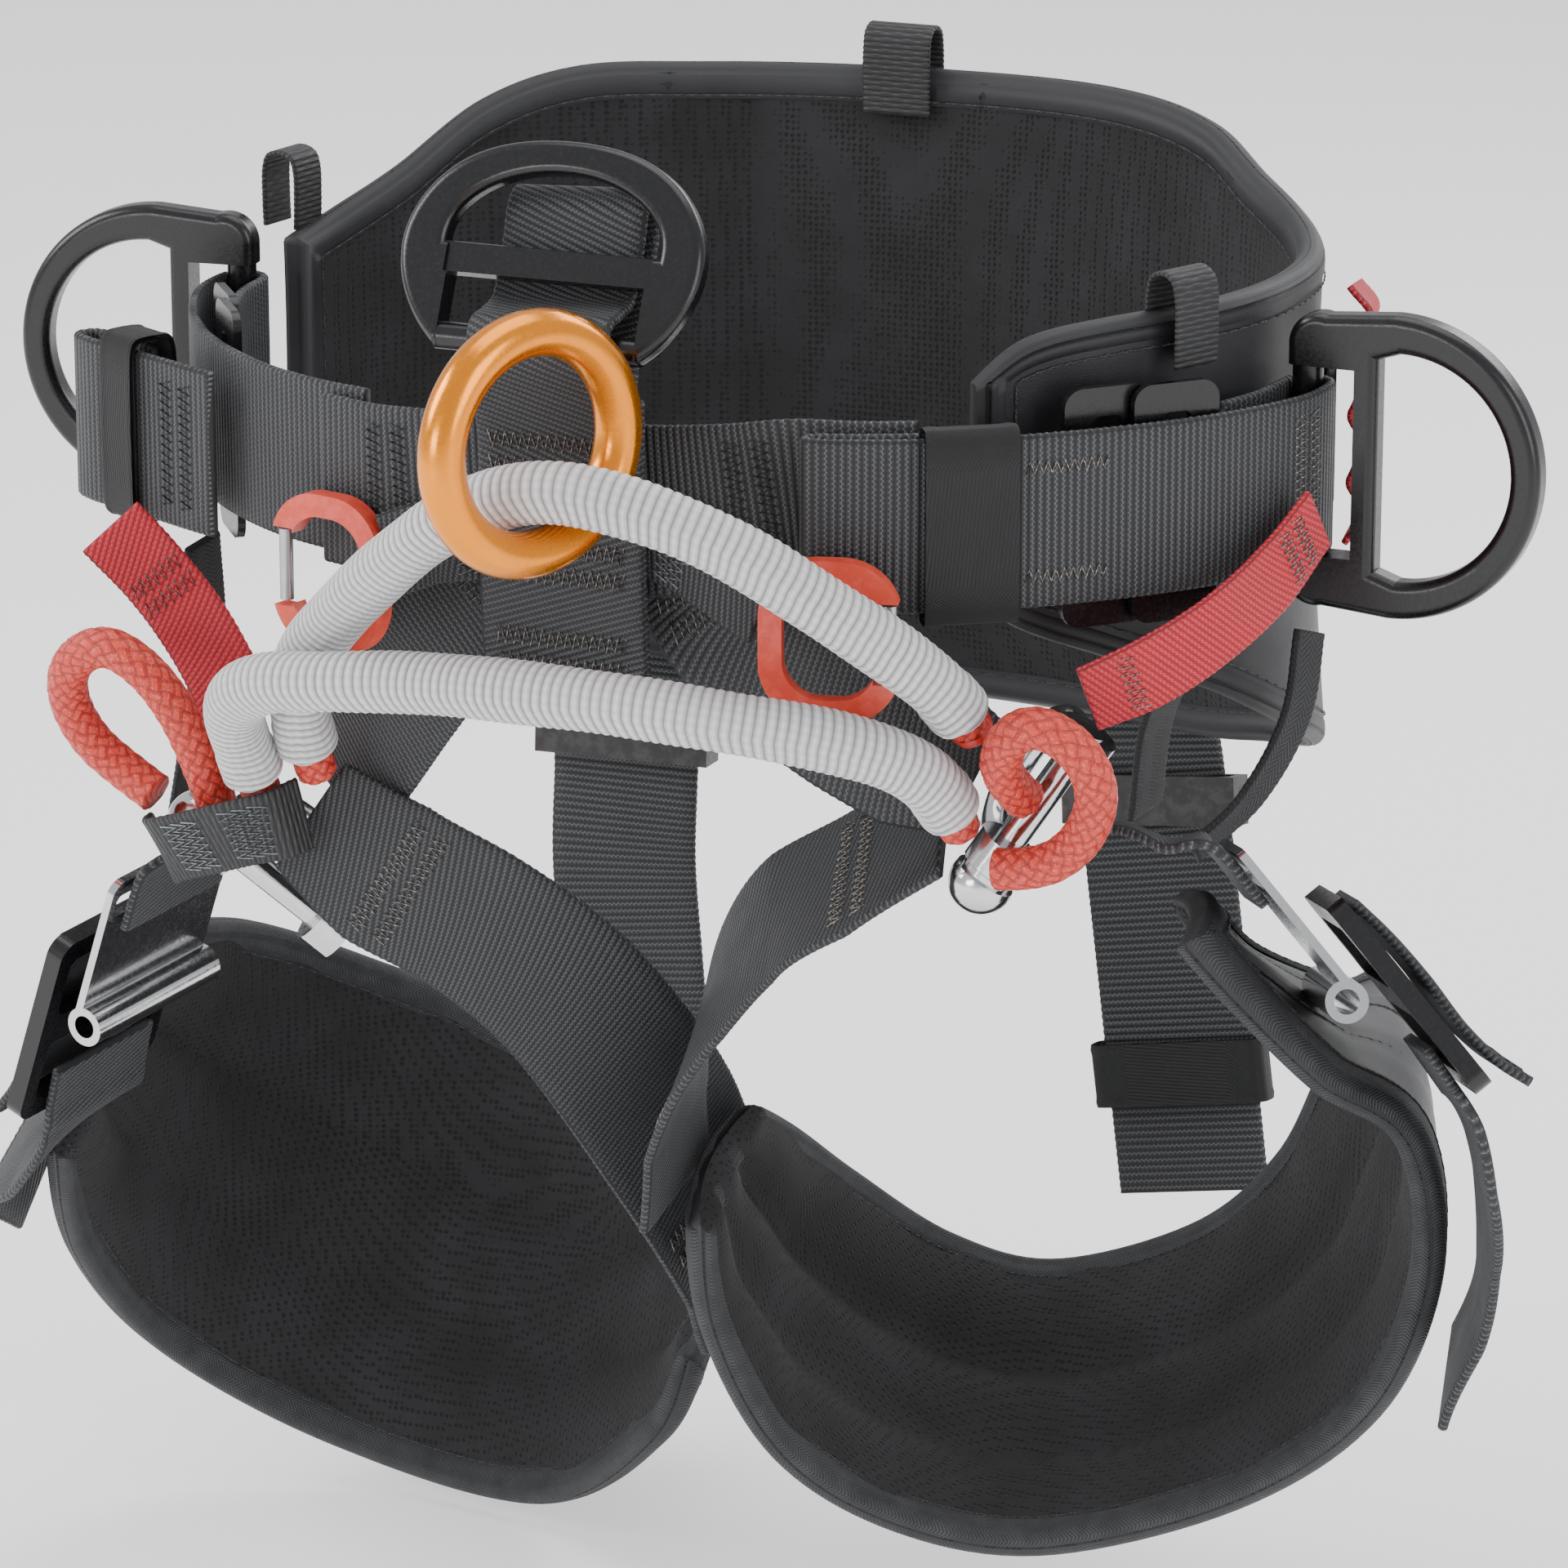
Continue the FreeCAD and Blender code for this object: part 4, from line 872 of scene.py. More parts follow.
# ---- front web and its loop round the front ring ----
LEVEL = (1, 0, 0.05)
ventral = web("ventral_web", [((-4, -127.2, 28), LEVEL), ((-4, -126.7, 0), LEVEL),
                              ((-4, -125.7, -25), LEVEL), ((-4, -123.7, -50), LEVEL)],
              WEB_WIDTH, DOUBLED_THICKNESS, DARK_WEB, layers=2)
RING_LOOP = [(-132, 4), (-132.2, 18), (-136, 30), (-139.2, 40), (-136.5, 47.8), (-130, 49.2),
             (-123, 50.8), (-118, 57.5), (-114.8, 66), (-111.8, 73.5), (-107.5, 76), (-104.5, 71),
             (-108, 60), (-114.5, 47), (-120, 33), (-121.9, 20), (-121.9, 4)]
ring_loop = web("ventral_ring_loop", [((-5, y, z), LEVEL) for y, z in RING_LOOP], RING_LOOP_WIDTH,
                WEB_THICKNESS, DARK_WEB)

# ---- risers, crotch webs and rear straps ----
riser_left = web("riser_web_left", [((-30, -113, -16), (-0.99, 0, 0.1)),
                                    ((-42, -110.8, -32), (-0.95, 0, 0.3)),
                                    ((-53, -109.5, -46), (-0.9, 0, 0.42)),
                                    ((-64, -103, -60), (-0.82, 0.1, 0.55)),
                                    ((-77, -94, -78), (-0.66, 0.2, 0.72)),
                                    ((-90, -85, -95), (-0.5, 0.1, 0.85), 34)],
                 WEB_WIDTH, WEB_THICKNESS, DARK_WEB)
riser_right = web("riser_web_right", [((28, -112.8, -14), (0.97, 0, 0.2)),
                                      ((38, -111.2, -32), (0.9, 0, 0.42)),
                                      ((52, -110.5, -43), (0.78, 0, 0.6)),
                                      ((68, -107.5, -53), (0.62, 0.1, 0.78)),
                                      ((84, -103.5, -62), (0.54, 0.1, 0.83)),
                                      ((98, -99.5, -69), (0.54, 0.1, 0.83), 34)],
                  WEB_WIDTH, WEB_THICKNESS, DARK_WEB)
crotch_left = web("crotch_web_left", [((-87, -104, -99), (0.65, 0.1, 0.76), 36),
                                      ((-66, -102.5, -113), (0.63, 0.1, 0.78)),
                                      ((-46, -92, -127), (0.64, 0.1, 0.77)),
                                      ((-28, -79, -146), (0.55, 0.1, 0.83)),
                                      ((-16, -66, -168), (0.52, 0.15, 0.84)),
                                      ((-9, -50, -192), (0.5, 0.4, 0.77)),
                                      ((-5, -34, -216), (0.35, 0.8, 0.5)),
                                      ((-5, -18, -238), (0.1, 0.95, 0.25)), ((-8, -4, -256), (0, 0.99, 0.1))],
                  WEB_WIDTH, WEB_THICKNESS, DARK_WEB)
crotch_right = web("crotch_web_right", [((88, -95, -84), (-0.6, 0.77, 0.2), 36),
                                        ((62, -93, -100), (-0.63, 0.77, 0.14)),
                                        ((38, -89, -117), (-0.6, 0.78, 0.1)),
                                        ((22, -84, -138), (-0.5, 0.86, 0)),
                                        ((11, -79, -160), (-0.3, 0.95, -0.1)),
                                        ((4, -73, -182), (-0.1, 0.99, -0.1)),
                                        ((1.5, -68, -204), (0, 0.99, 0.1))],
                   WEB_WIDTH, WEB_THICKNESS, DARK_WEB)
rear_left = web("rear_web_left", [(waist_point(122, 11.4, -72), (0.9, 0.43, 0)),
                                  ((-84, 104.8, -100), (0.93, 0.36, 0)), ((-85, 103, -122), (1, 0.1, 0)),
                                  ((-85, 101.5, -145), (1, 0, 0)), ((-84.5, 98.5, -170), (1, 0, -0.05)),
                                  ((-81, 95.5, -200), (1, 0, -0.1)), ((-77, 94, -236), (1, 0, -0.1))],
                WEB_WIDTH, WEB_THICKNESS, BELT_WEB)
rear_right = web("rear_web_right", [(waist_point(64, 11.4, -72), (0.94, -0.34, 0)),
                                    ((70, 110.4, -100), (0.94, -0.3, 0.1)),
                                    ((73, 108.6, -124), (0.99, -0.1, 0.1)),
                                    ((78, 103.5, -152), (0.99, 0, 0.12)),
                                    ((83, 99.5, -180), (0.99, 0, 0.14)), ((88, 96, -210), (0.98, 0, 0.16)),
                                    ((94, 92, -246), (0.97, 0, 0.2))], WEB_WIDTH, WEB_THICKNESS, BELT_WEB)


# ---- leg straps ----
def leg_straps(side, centre, across, outward, web_points, pad_points, pad_across):
    """The strap into the plate, the loose tail on the frame, and the strap from the frame to the pad."""
    centre = Vector(centre)
    out = Vector(outward).normalized()
    cross = square_to(Vector(across), out)
    down = out.cross(cross)
    if down.z > 0:
        down = -down
    frame_centre = centre + down * 32 + out * 10
    under = out * 3.4
    stations = [(p[:3], across, p[3]) for p in web_points]
    stations += [(centre - down * 27 - under * 1.3, across), (centre - down * 8 - under, across)]
    upper = web("leg_web_" + side, stations, LEG_WEB_WIDTH, WEB_THICKNESS, DARK_WEB)
    tail = [(-26, 0), (-14, 1.5), (0, 2), (16, 1.5), (28, 3), (37, 6)]
    loose = web("leg_tail_" + side,
                [(frame_centre + down * s + out * (4.3 + lift), across) for s, lift in tail],
                LEG_WEB_WIDTH, WEB_THICKNESS, DARK_WEB, body="leg_frame_" + side)
    start = frame_centre + down * 14 - out * 4.75
    lower = web("leg_pad_strap_" + side, [(start, across), (start + down * 12 - out * 0.8, across),
                                          (start + down * 20 - out * 1.6, across)]
                + [(p, pad_across) for p in pad_points],
                LEG_WEB_WIDTH, WEB_THICKNESS, DARK_WEB)
    return upper, loose, lower


legs_left = leg_straps("left", (-142.7, -86.3, -140.6), (0.21, 0.97, 0.08), (-0.914, 0.167, 0.37),
                       [(-123, -92, -112, 18)], [(-189, -69, -214), (-201, -58, -221), (-209, -44, -228),
                                                 (-210, -27, -238)], (0.17, 0.72, 0.67))
legs_right = leg_straps("right", (176, -82.2, -101.5), (-0.4, 0.88, -0.24), (0.645, 0.458, 0.603),
                        [(124, -89, -81, 24), (135, -88, -82, 28), (146, -88, -84, 34)],
                        [(224, -71, -161), (223, -56, -186), (219, -46, -212), (209, -38, -238)],
                        (-0.35, 0.9, -0.2))

# ---- red webbing, tapes and elastics ----
red_right = web("red_web_right", [((169, -42, -8), (0, 0.1, -1)), ((163, -60, -20), (0.1, 0.1, -1)),
                                  ((154, -80, -30), (0.1, 0.2, -1)), ((142, -95, -38), (0.2, 0.3, -1)),
                                  ((129, -103, -44), (0.3, 0.5, -0.8))], RED_WIDTH, TAPE_THICKNESS, RED_WEB)
red_tab = web("red_tab_left", [((-147, -98, -28), (0.3, 0.2, 0.9)), ((-137, -94, -40), (0.5, 0.2, 0.8)),
                               ((-127, -93, -52), (0.6, 0.3, 0.7)), ((-118, -93, -66), (0.8, 0.3, 0.5)),
                               ((-112, -93, -80), (0.9, 0.3, 0.2))], RED_WIDTH, TAPE_THICKNESS, RED_WEB)
DAISY = [(156.5, 38), (162, 31), (157, 22), (162.5, 13), (157, 4), (162.5, -5), (157, -14), (162, -22),
         (156.5, -30)]
daisy = web("gear_daisy_right", [((x, 24, z), (-0.2, 0.98, 0)) for x, z in DAISY], 15.0, TAPE_THICKNESS,
            RED_WEB, stiff=0.9)
SLANT_IN = (0.35, 0.93, 0)
web("side_elastic_left", [((-138, -62, -40), SLANT_IN), ((-145, -46, -74), SLANT_IN),
                          ((-156, -34, -108), SLANT_IN), ((-164, -30, -140), SLANT_IN)],
    ELASTIC_WIDTH, 2.0, ELASTIC)
web("side_elastic_right", [((162, -25, -43), SLANT_IN), ((161, -32, -64), SLANT_IN),
                           ((153, -44, -84), SLANT_IN), ((142, -56, -96), SLANT_IN)],
    ELASTIC_WIDTH, 2.0, ELASTIC)
web(None, [((141, -60, -43), SLANT_IN), ((126, -40, -67), SLANT_IN), ((116, -20, -98), SLANT_IN)],
    ELASTIC_WIDTH, 2.0, ELASTIC, name="second_elastic_right")
rope_tape = web("rope_tape_left", [(p, (-0.3, -0.3, 0.9)) for p in (
    (-126, -112, -110), (-123, -119, -108.5), (-112, -122.5, -104.5), (-99, -123.5, -100),
    (-89, -119.5, -97.5), (-85, -112, -96))], RED_WIDTH, TAPE_THICKNESS, BLACK_TAPE)
gear_left = web("gear_tape_left", [(p, (-0.1, 0, 0.99)) for p in (
    (-24, -121, -12), (-34, -121.7, -14), (-44, -122.1, -16), (-53.5, -122.2, -20))], 22.0, TAPE_THICKNESS,
    DARK_WEB)
gear_right = web("gear_tape_right", [(p, (-0.1, 0, 0.99)) for p in (
    (18.5, -122, -8), (30, -123.5, -12), (42, -125.4, -18), (51, -127, -22))], 22.0, TAPE_THICKNESS, DARK_WEB)


# ---- pads ----
def spread(values, count):
    """Values sampled evenly on a smooth curve through the given ones."""
    result = []
    last = len(values) - 1
    for k in range(count):
        t = last * k / (count - 1)
        i = min(last - 1, int(t))
        u = t - i
        p0, p1, p2, p3 = values[max(i - 1, 0)], values[i], values[i + 1], values[min(i + 2, last)]
        result.append(0.5 * (2 * p1 + (p2 - p0) * u + (2 * p0 - 5 * p1 + 4 * p2 - p3) * u * u
                             + (3 * p1 - p0 - 3 * p2 + p3) * u * u * u))
    return result


class Pad:
    """A padded panel: place(i, t, d) is column i, share t across it, and d outward from its inner face."""

    def __init__(self, columns, low, high, outs, thickness, bulge):
        self.columns = columns
        self.low = low
        self.high = high
        self.outs = outs
        self.thickness = thickness
        self.bulge = bulge

    def height(self, i):
        return (self.high[i] - self.low[i]).length

    def place(self, i, t, d):
        if self.bulge is None:
            angle, top, bottom = self.columns[i]
            return waist_point(angle, d, bottom + (top - bottom) * t)
        lift = self.bulge * 4 * t * (1 - t)
        return self.low[i].lerp(self.high[i], t) + self.outs[i] * (lift + d)

    def between(self, c, t, d):
        """The place at a column number that needn't be whole."""
        c = max(0.0, min(len(self.low) - 1.0, c))
        i = min(len(self.low) - 2, int(c))
        return self.place(i, t, d).lerp(self.place(i + 1, t, d), c - i)


def waist_pad():
    stations = [(-52, 30, -26), (-46, 41, -35), (-36, 45, -44), (-20, 46, -58), (0, 47, -78), (20, 48, -94),
                (38, 54, -104), (50, 64, -110), (65, 68, -113), (90, 67, -114), (113, 66, -110),
                (128, 65, -105), (140, 57, -97), (152, 41, -76), (163, 32, -54), (173, 27, -38)]
    columns = list(zip(*[spread([row[k] for row in stations], 150) for k in range(3)]))
    low = [waist_point(a, 0, b) for a, t, b in columns]
    high = [waist_point(a, 0, t) for a, t, b in columns]
    return Pad(columns, low, high, None, PAD_THICKNESS, None)


def leg_pad(stations, centre):
    low = list(zip(*[spread([row[0][k] for row in stations], 110) for k in range(3)]))
    high = list(zip(*[spread([row[1][k] for row in stations], 110) for k in range(3)]))
    low = [Vector(p) for p in low]
    high = [Vector(p) for p in high]
    middle = [(a + b) / 2 for a, b in zip(low, high)]
    outs = []
    last = len(low) - 1
    for i in range(last + 1):
        along = (middle[min(i + 1, last)] - middle[max(i - 1, 0)]).normalized()
        over = (high[i] - low[i]).normalized()
        out = square_to(along.cross(over), along)
        outs.append(out if out.dot(middle[i] - Vector(centre)) > 0 else -out)
    return Pad(None, low, high, outs, LEG_PAD_THICKNESS, LEG_PAD_BULGE)


def rim_swell(distance, radius=4.2):
    """How full the pad is at a distance from its rim, from 0 at the rim to 1."""
    share = min(1.0, max(0.0, distance) / radius)
    return math.sqrt(max(0.0, 1 - (1 - share) ** 2))


def column_runs(pad):
    """The distance of each column from the first, along the middle."""
    runs = [0.0]
    for i in range(1, len(pad.low)):
        a = (pad.low[i - 1] + pad.high[i - 1]) / 2
        b = (pad.low[i] + pad.high[i]) / 2
        runs.append(runs[-1] + (b - a).length)
    return runs


def crown(t, channels):
    """How high the stuffing stands between two sewn lines, from 0 on a line to 1."""
    lines = [0.06] + list(channels) + [0.94]
    for a, b in zip(lines, lines[1:]):
        if a <= t <= b:
            return math.sin(math.pi * (t - a) / (b - a)) ** 0.8
    return 0.0


def pad_body(name, node, pad, channels, inner_material, outer_material, creases=()):
    """The stuffed body of a pad: two faces that meet at the rim, sewn along its channels, then inflated."""
    runs = column_runs(pad)
    count = 26
    shares = [0.5 - 0.5 * math.cos(math.pi * k / count) for k in range(count + 1)]
    middle = pad.thickness / 2
    rows = []
    pins = []
    for i in range(len(pad.low)):
        tall = pad.height(i)
        inner, outer = [], []
        for t in shares:
            gap = min(t * tall, (1 - t) * tall, runs[i], runs[-1] - runs[i])
            swell = rim_swell(gap)
            dip = max([0.0] + [math.exp(-(((t - c) * tall) / CHANNEL_HALF_WIDTH) ** 2) for c in channels])
            half = (middle - SEWN_IN) * swell - CHANNEL_DEPTH * dip * swell
            wrinkle = 0.45 * math.sin(runs[i] * 0.17 + 3 * t) * math.sin(t * 9 + runs[i] * 0.03) * swell
            for at, t0, t1, deep, broad in creases:
                along = (runs[i] - at - 14 * (t - t0)) / broad
                share = max(0.0, 1 - ((t - (t0 + t1) / 2) / ((t1 - t0) / 2)) ** 2)
                wrinkle += deep * share * math.exp(-along * along) * swell
            wrinkle -= STUFFING_RISE * crown(t, channels) * swell if channels else 0.0
            inner.append(pad.place(i, t, middle - half + wrinkle))
            outer.append(pad.place(i, t, middle + half + wrinkle * 0.4))
            pins.append(gap < PIN_REACH or dip > 0.6)
        rows.append((inner, outer))
    points, faces, picks = [], [], []
    wide = count + 1
    ring = 2 * wide - 2
    groups = []
    for i, (inner, outer) in enumerate(rows):
        points.extend(inner)
        points.extend(outer[1:-1][::-1])
        row_pins = pins[i * wide:(i + 1) * wide]
        groups.extend(row_pins)
        groups.extend(row_pins[1:-1][::-1])
    for i in range(len(rows) - 1):
        for j in range(ring):
            k = (j + 1) % ring
            faces.append((i * ring + j, (i + 1) * ring + j, (i + 1) * ring + k, i * ring + k))
            picks.append(0 if j < wide - 1 else 1)
    for i, turn in ((0, 1), (len(rows) - 1, -1)):
        for j in range(wide - 1):
            a, b = i * ring + j, i * ring + j + 1
            c = i * ring + (ring - j - 1) % ring if j + 1 < wide - 1 else i * ring + j + 1
            d = i * ring + (ring - j) % ring
            loop = [v for n, v in enumerate((a, b, c, d)) if v not in (a, b, c, d)[:n]]
            if len(loop) > 2:
                faces.append(tuple(loop[::turn]))
                picks.append(0)
    piece = mesh_piece(name, points, faces, None, [inner_material, outer_material], "root", picks)
    group = piece.vertex_groups.new(name="seams")
    group.add([n for n, pinned in enumerate(groups) if pinned], 1.0, "REPLACE")
    puff(piece)
    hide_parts(node)
    return piece


def puff(piece, pressure=4.0, cap=1.3):
    """Inflates a pad between its seams with the cloth simulation, and keeps each point near its place."""
    rest = [v.co.copy() for v in piece.data.vertices]
    cloth = piece.modifiers.new("Cloth", "CLOTH")
    settings = cloth.settings
    settings.quality = 5
    settings.use_pressure = True
    settings.uniform_pressure_force = pressure
    settings.effector_weights.gravity = 0.0
    settings.vertex_group_mass = "seams"
    settings.tension_stiffness = 25.0
    settings.compression_stiffness = 25.0
    settings.bending_stiffness = 2.0
    cloth.point_cache.frame_start = 1
    cloth.point_cache.frame_end = 20
    for frame_number in range(1, 21):
        bpy.context.scene.frame_set(frame_number)
    shape = piece.evaluated_get(bpy.context.evaluated_depsgraph_get())
    moved = [v.co.copy() for v in shape.data.vertices]
    piece.modifiers.clear()
    bpy.context.scene.frame_set(1)
    for vertex, old, new in zip(piece.data.vertices, rest, moved):
        shift = new - old
        if shift.length > cap * MM:
            shift = shift.normalized() * cap * MM
        vertex.co = old + shift


def rim_path(pad):
    """The rim as a loop of column numbers and shares across."""
    last = len(pad.low) - 1
    loop = [(c, 0.0) for c in range(last)]
    loop += [(last, k / 24) for k in range(24)]
    loop += [(c, 1.0) for c in range(last, 0, -1)]
    loop += [(0, 1 - k / 24) for k in range(24)]
    return loop


def inset(pad, runs, c, t, distance):
    """A rim place moved in by a distance, square to the rim, with square corners."""
    last = len(pad.low) - 1
    first = bisect.bisect_left(runs, distance)
    final = bisect.bisect_left(runs, runs[-1] - distance)
    c = max(first, min(final, c))
    i = min(last, int(round(c)))
    share = min(0.49, distance / pad.height(i))
    return c, max(share, min(1 - share, t))


def binding(name, pad, material, inner_width, outer_width, stitch_at, lift=0.55):
    """Tape folded over the rim, with a stitch line along it on both faces."""
    runs = column_runs(pad)
    middle = pad.thickness / 2
    steps = [(outer_width, 1, -0.5), (outer_width - 0.5, 1, lift), (outer_width * 0.6, 1, lift),
             (outer_width * 0.3, 1, lift), (3.0, 1, lift), (1.6, 1, lift), (0.7, 1, lift), (0.15, 1, lift),
             (0.15, -1, lift), (0.7, -1, lift), (1.6, -1, lift), (3.0, -1, lift),
             (inner_width * 0.3, -1, lift), (inner_width * 0.6, -1, lift), (inner_width - 0.5, -1, lift),
             (inner_width, -1, -0.5)]
    across = [outer_width + 3 - s[0] if s[1] > 0 else outer_width + 6 + s[0] for s in steps]
    loop = rim_path(pad)
    rows, along = [], []
    run = 0.0
    before = None
    for c, t in loop + [loop[0]]:
        row = []
        for distance, face, rise in steps:
            cc, tt = inset(pad, runs, c, t, distance)
            half = (middle - SEWN_IN) * rim_swell(distance) + rise
            row.append(pad.between(cc, tt, middle + face * half))
        if before is not None:
            run += (row[7] - before).length
        before = row[7]
        rows.append(row)
        along.append(run)
    sheets = Sheets()
    sheets.grid(rows, across, along)
    piece = sheets.piece(name, material)
    lines = Sheets()
    for face in (1, -1):
        spots = []
        for c, t in loop + [loop[0]]:
            cc, tt = inset(pad, runs, c, t, stitch_at)
            spots.append(pad.between(cc, tt, middle + face * (middle - SEWN_IN + lift + 0.1)))
        running(lines, spots)
    lines.piece(name + "_stitches", DARK_TACK)
    return piece


def channel_stitches(name, pad, channels, margin):
    """Stitch lines along a pad's sewn channels, on both faces."""
    lines = Sheets()
    runs = column_runs(pad)
    first = bisect.bisect_left(runs, margin)
    final = bisect.bisect_left(runs, runs[-1] - margin)
    middle = pad.thickness / 2
    for c in channels:
        for face in (1, -1):
            spots = [pad.between(k / 3, c, middle + face * (middle - CHANNEL_DEPTH))
                     for k in range(first * 3, final * 3)]
            running(lines, spots)
    return lines.piece(name, DARK_TACK)


LEFT_LEG = [((-171, -6, -170), (-184, -62, -222)), ((-166, 30, -180), (-192, -38, -262)),
            ((-146, 62, -198), (-185, -4, -302)), ((-116, 77, -213), (-144, 18, -332)),
            ((-82, 77, -228), (-78, 10, -336)), ((-55, 66, -240), (-34, -12, -302)),
            ((-42, 48, -250), (-20, -18, -272))]
RIGHT_LEG = [((19, -44, -186), (21, -86, -206)), ((15, -8, -204), (22, -80, -238)),
             ((18, 28, -228), (36, -68, -274)), ((36, 54, -252), (62, -54, -294)),
             ((62, 66, -260), (98, -42, -299)), ((100, 72, -246), (148, -34, -281)),
             ((124, 70, -222), (184, -38, -250)), ((140, 60, -190), (201, -48, -208)),
             ((160, 34, -160), (200, -63, -168)), ((161, -1, -151), (184, -85, -148)),
             ((149, -52, -128), (164, -100, -122)), ((141, -76, -104), (153, -106, -107))]
back = waist_pad()
back_runs = column_runs(back)
BACK_CREASES = [(back_runs[-1] * 0.70, 0.35, 1.0, 2.6, 5.0), (back_runs[-1] * 0.745, 0.1, 0.85, -1.6, 9.0),
                (back_runs[-1] * 0.86, 0.1, 0.9, 1.8, 6.0), (back_runs[-1] * 0.33, 0.05, 0.7, 1.4, 8.0)]
pad_body("back_pad_cushion", "back_pad", back, [], SPACER, OUTER, creases=BACK_CREASES)
binding("back_pad_edge", back, BAND, 10.0, 7.0, 8.6, 0.4)
left_leg = leg_pad(LEFT_LEG, (-100, -20, -250))
right_leg = leg_pad(RIGHT_LEG, (95, -20, -225))
LEG_CHANNELS = [0.37, 0.66]
pad_body("leg_pad_left_cushion", "leg_pad_left", left_leg, LEG_CHANNELS, SPACER, OUTER)
pad_body("leg_pad_right_cushion", "leg_pad_right", right_leg, LEG_CHANNELS, SPACER, OUTER)
binding("leg_pad_left_binding", left_leg, BINDING, 11.0, 11.0, 9.4)
binding("leg_pad_right_binding", right_leg, BINDING, 11.0, 11.0, 9.4)
channel_stitches("leg_pad_left_channels", left_leg, LEG_CHANNELS, 14)
channel_stitches("leg_pad_right_channels", right_leg, LEG_CHANNELS, 14)


# ---- hardware ----
def finish_metal(material, *nodes):
    """Gives these hard parts their material."""
    for node in nodes:
        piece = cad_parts[node]
        piece.data.materials.clear()
        piece.data.materials.append(material)
        piece.material_slots[0].material = material


def both(*names):
    return [name + "_" + side for name in names for side in ("left", "right")]


finish_metal(BLACK_PAINT, *both("belt_buckle_plate", "belt_buckle_frame", "leg_buckle_frame"), "front_dring")
finish_metal(BLACK_ALLOY, *both("side_dring"))
finish_metal(ORANGE_ALLOY, "bridge_ring")
finish_metal(STEEL, *both("leg_buckle_plate", "link_bolt", "link_bow"))
finish_metal(GATE_STEEL, *both("clip_gate"))
finish_metal(CORAL, *both("gear_clip"))
finish_metal(BLACK_PLASTIC, *both("rear_slider"))


# ---- keepers ----
def loop_band(node, centre, across, down, wide, deep, long, wall, material, body, name=None):
    """A soft band round a strap, with rounded corners and a slight swell."""
    centre = Vector(centre)
    along = Vector(down).normalized()
    side = square_to(Vector(across), along)
    face = side.cross(along)
    rows = []
    lengths = []
    steps = 12
    for k in range(steps + 1):
        s = -long / 2 + long * k / steps
        hem = 0.25 if k in (1, steps - 1) else 0.0
        ring = []
        for n in range(64):
            a = 2 * math.pi * n / 64
            x = math.copysign(abs(math.cos(a)) ** 0.22, math.cos(a)) * (wide / 2 + wall / 2)
            y = math.copysign(abs(math.sin(a)) ** 0.35, math.sin(a)) * (deep / 2 + wall / 2)
            ring.append((x, y))
        rows.append((s, ring, wall / 2 + hem))
    sheets = Sheets()
    for sign in (1, -1):
        shell = []
        for s, ring, half in rows:
            row = []
            for x, y in ring:
                out = Vector((x / (wide / 2), y / (deep / 2) * 0.9)).normalized()
                row.append(centre + along * s + side * (x + out.x * half * sign)
                           + face * (y + out.y * half * sign))
            shell.append(row)
        across_map = [2 * (wide + deep) * n / 64 for n in range(65)]
        sheets.grid(shell if sign > 0 else shell[::-1], across_map, [r[0] for r in rows], closed=True)
    piece = sheets.piece(name or node + "_cloth", material, body)
    if node:
        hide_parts(node)
    return piece


loop_band("belt_keeper_right", (99.5, -109.4, 0), (0, 0, 1), (-0.83, -0.55, 0), 47.4, 5.0, 24, 1.6, KEEPER,
          "root")
loop_band("rear_keeper_right", (88.4, 95.6, -212), (0.98, 0, 0.16), (0.17, -0.115, -1), 47.0, 4.6, 18, 2.6,
          KEEPER, "rear_keeper_right")


def spare_band(name, centre, across, down, wide, deep, long, wall):
    """A keeper with no solid of its own, over the belt tail."""
    return loop_band(None, centre, across, down, wide, deep, long, wall, KEEPER, "root", name)


spare_band("belt_keeper_left", (-150, -73.5, -6), (0, 0, 1), (-0.88, 0.47, 0), 47.6, 12.5, 14, 1.6)

# ---- bar tacks and seams ----
def tack_rows(name, material, strap, places, width, bar=4.6, inside=False, body=None):
    """Bars of zigzag stitching across a strap, at distances along it."""
    sheets = Sheets()
    for s in places:
        facing = strap.outward(s) * (-1 if inside else 1)
        zigzag(sheets, strap, s - bar / 2, s + bar / 2, -width / 2, width / 2, facing)
    return sheets.piece(name, material, body or strap.body)


def tack_columns(name, material, strap, start, end, columns, bar=3.0, inside=False):
    """Bars of zigzag stitching along a strap, at distances from its middle."""
    sheets = Sheets()
    facing = strap.outward((start + end) / 2) * (-1 if inside else 1)
    for x in columns:
        zigzag(sheets, strap, start, end, x - bar / 2, x + bar / 2, facing, lengthwise=True)
    return sheets.piece(name, material, strap.body)


def edge_seams(name, material, strap, start, end, inset_by=3.5, both_faces=True):
    """A stitch line near each selvedge."""
    sheets = Sheets()
    count = int((end - start) / 0.9)
    for facing in ((1, -1) if both_faces else (1,)):
        for sign in (1, -1):
            spots = []
            for k in range(count + 1):
                s = start + (end - start) * k / count
                half = strap.at(s)[3]
                spots.append(strap.on(s, sign * (half - inset_by), 0.1, facing))
            running(sheets, spots)
    return sheets.piece(name, material, strap.body)


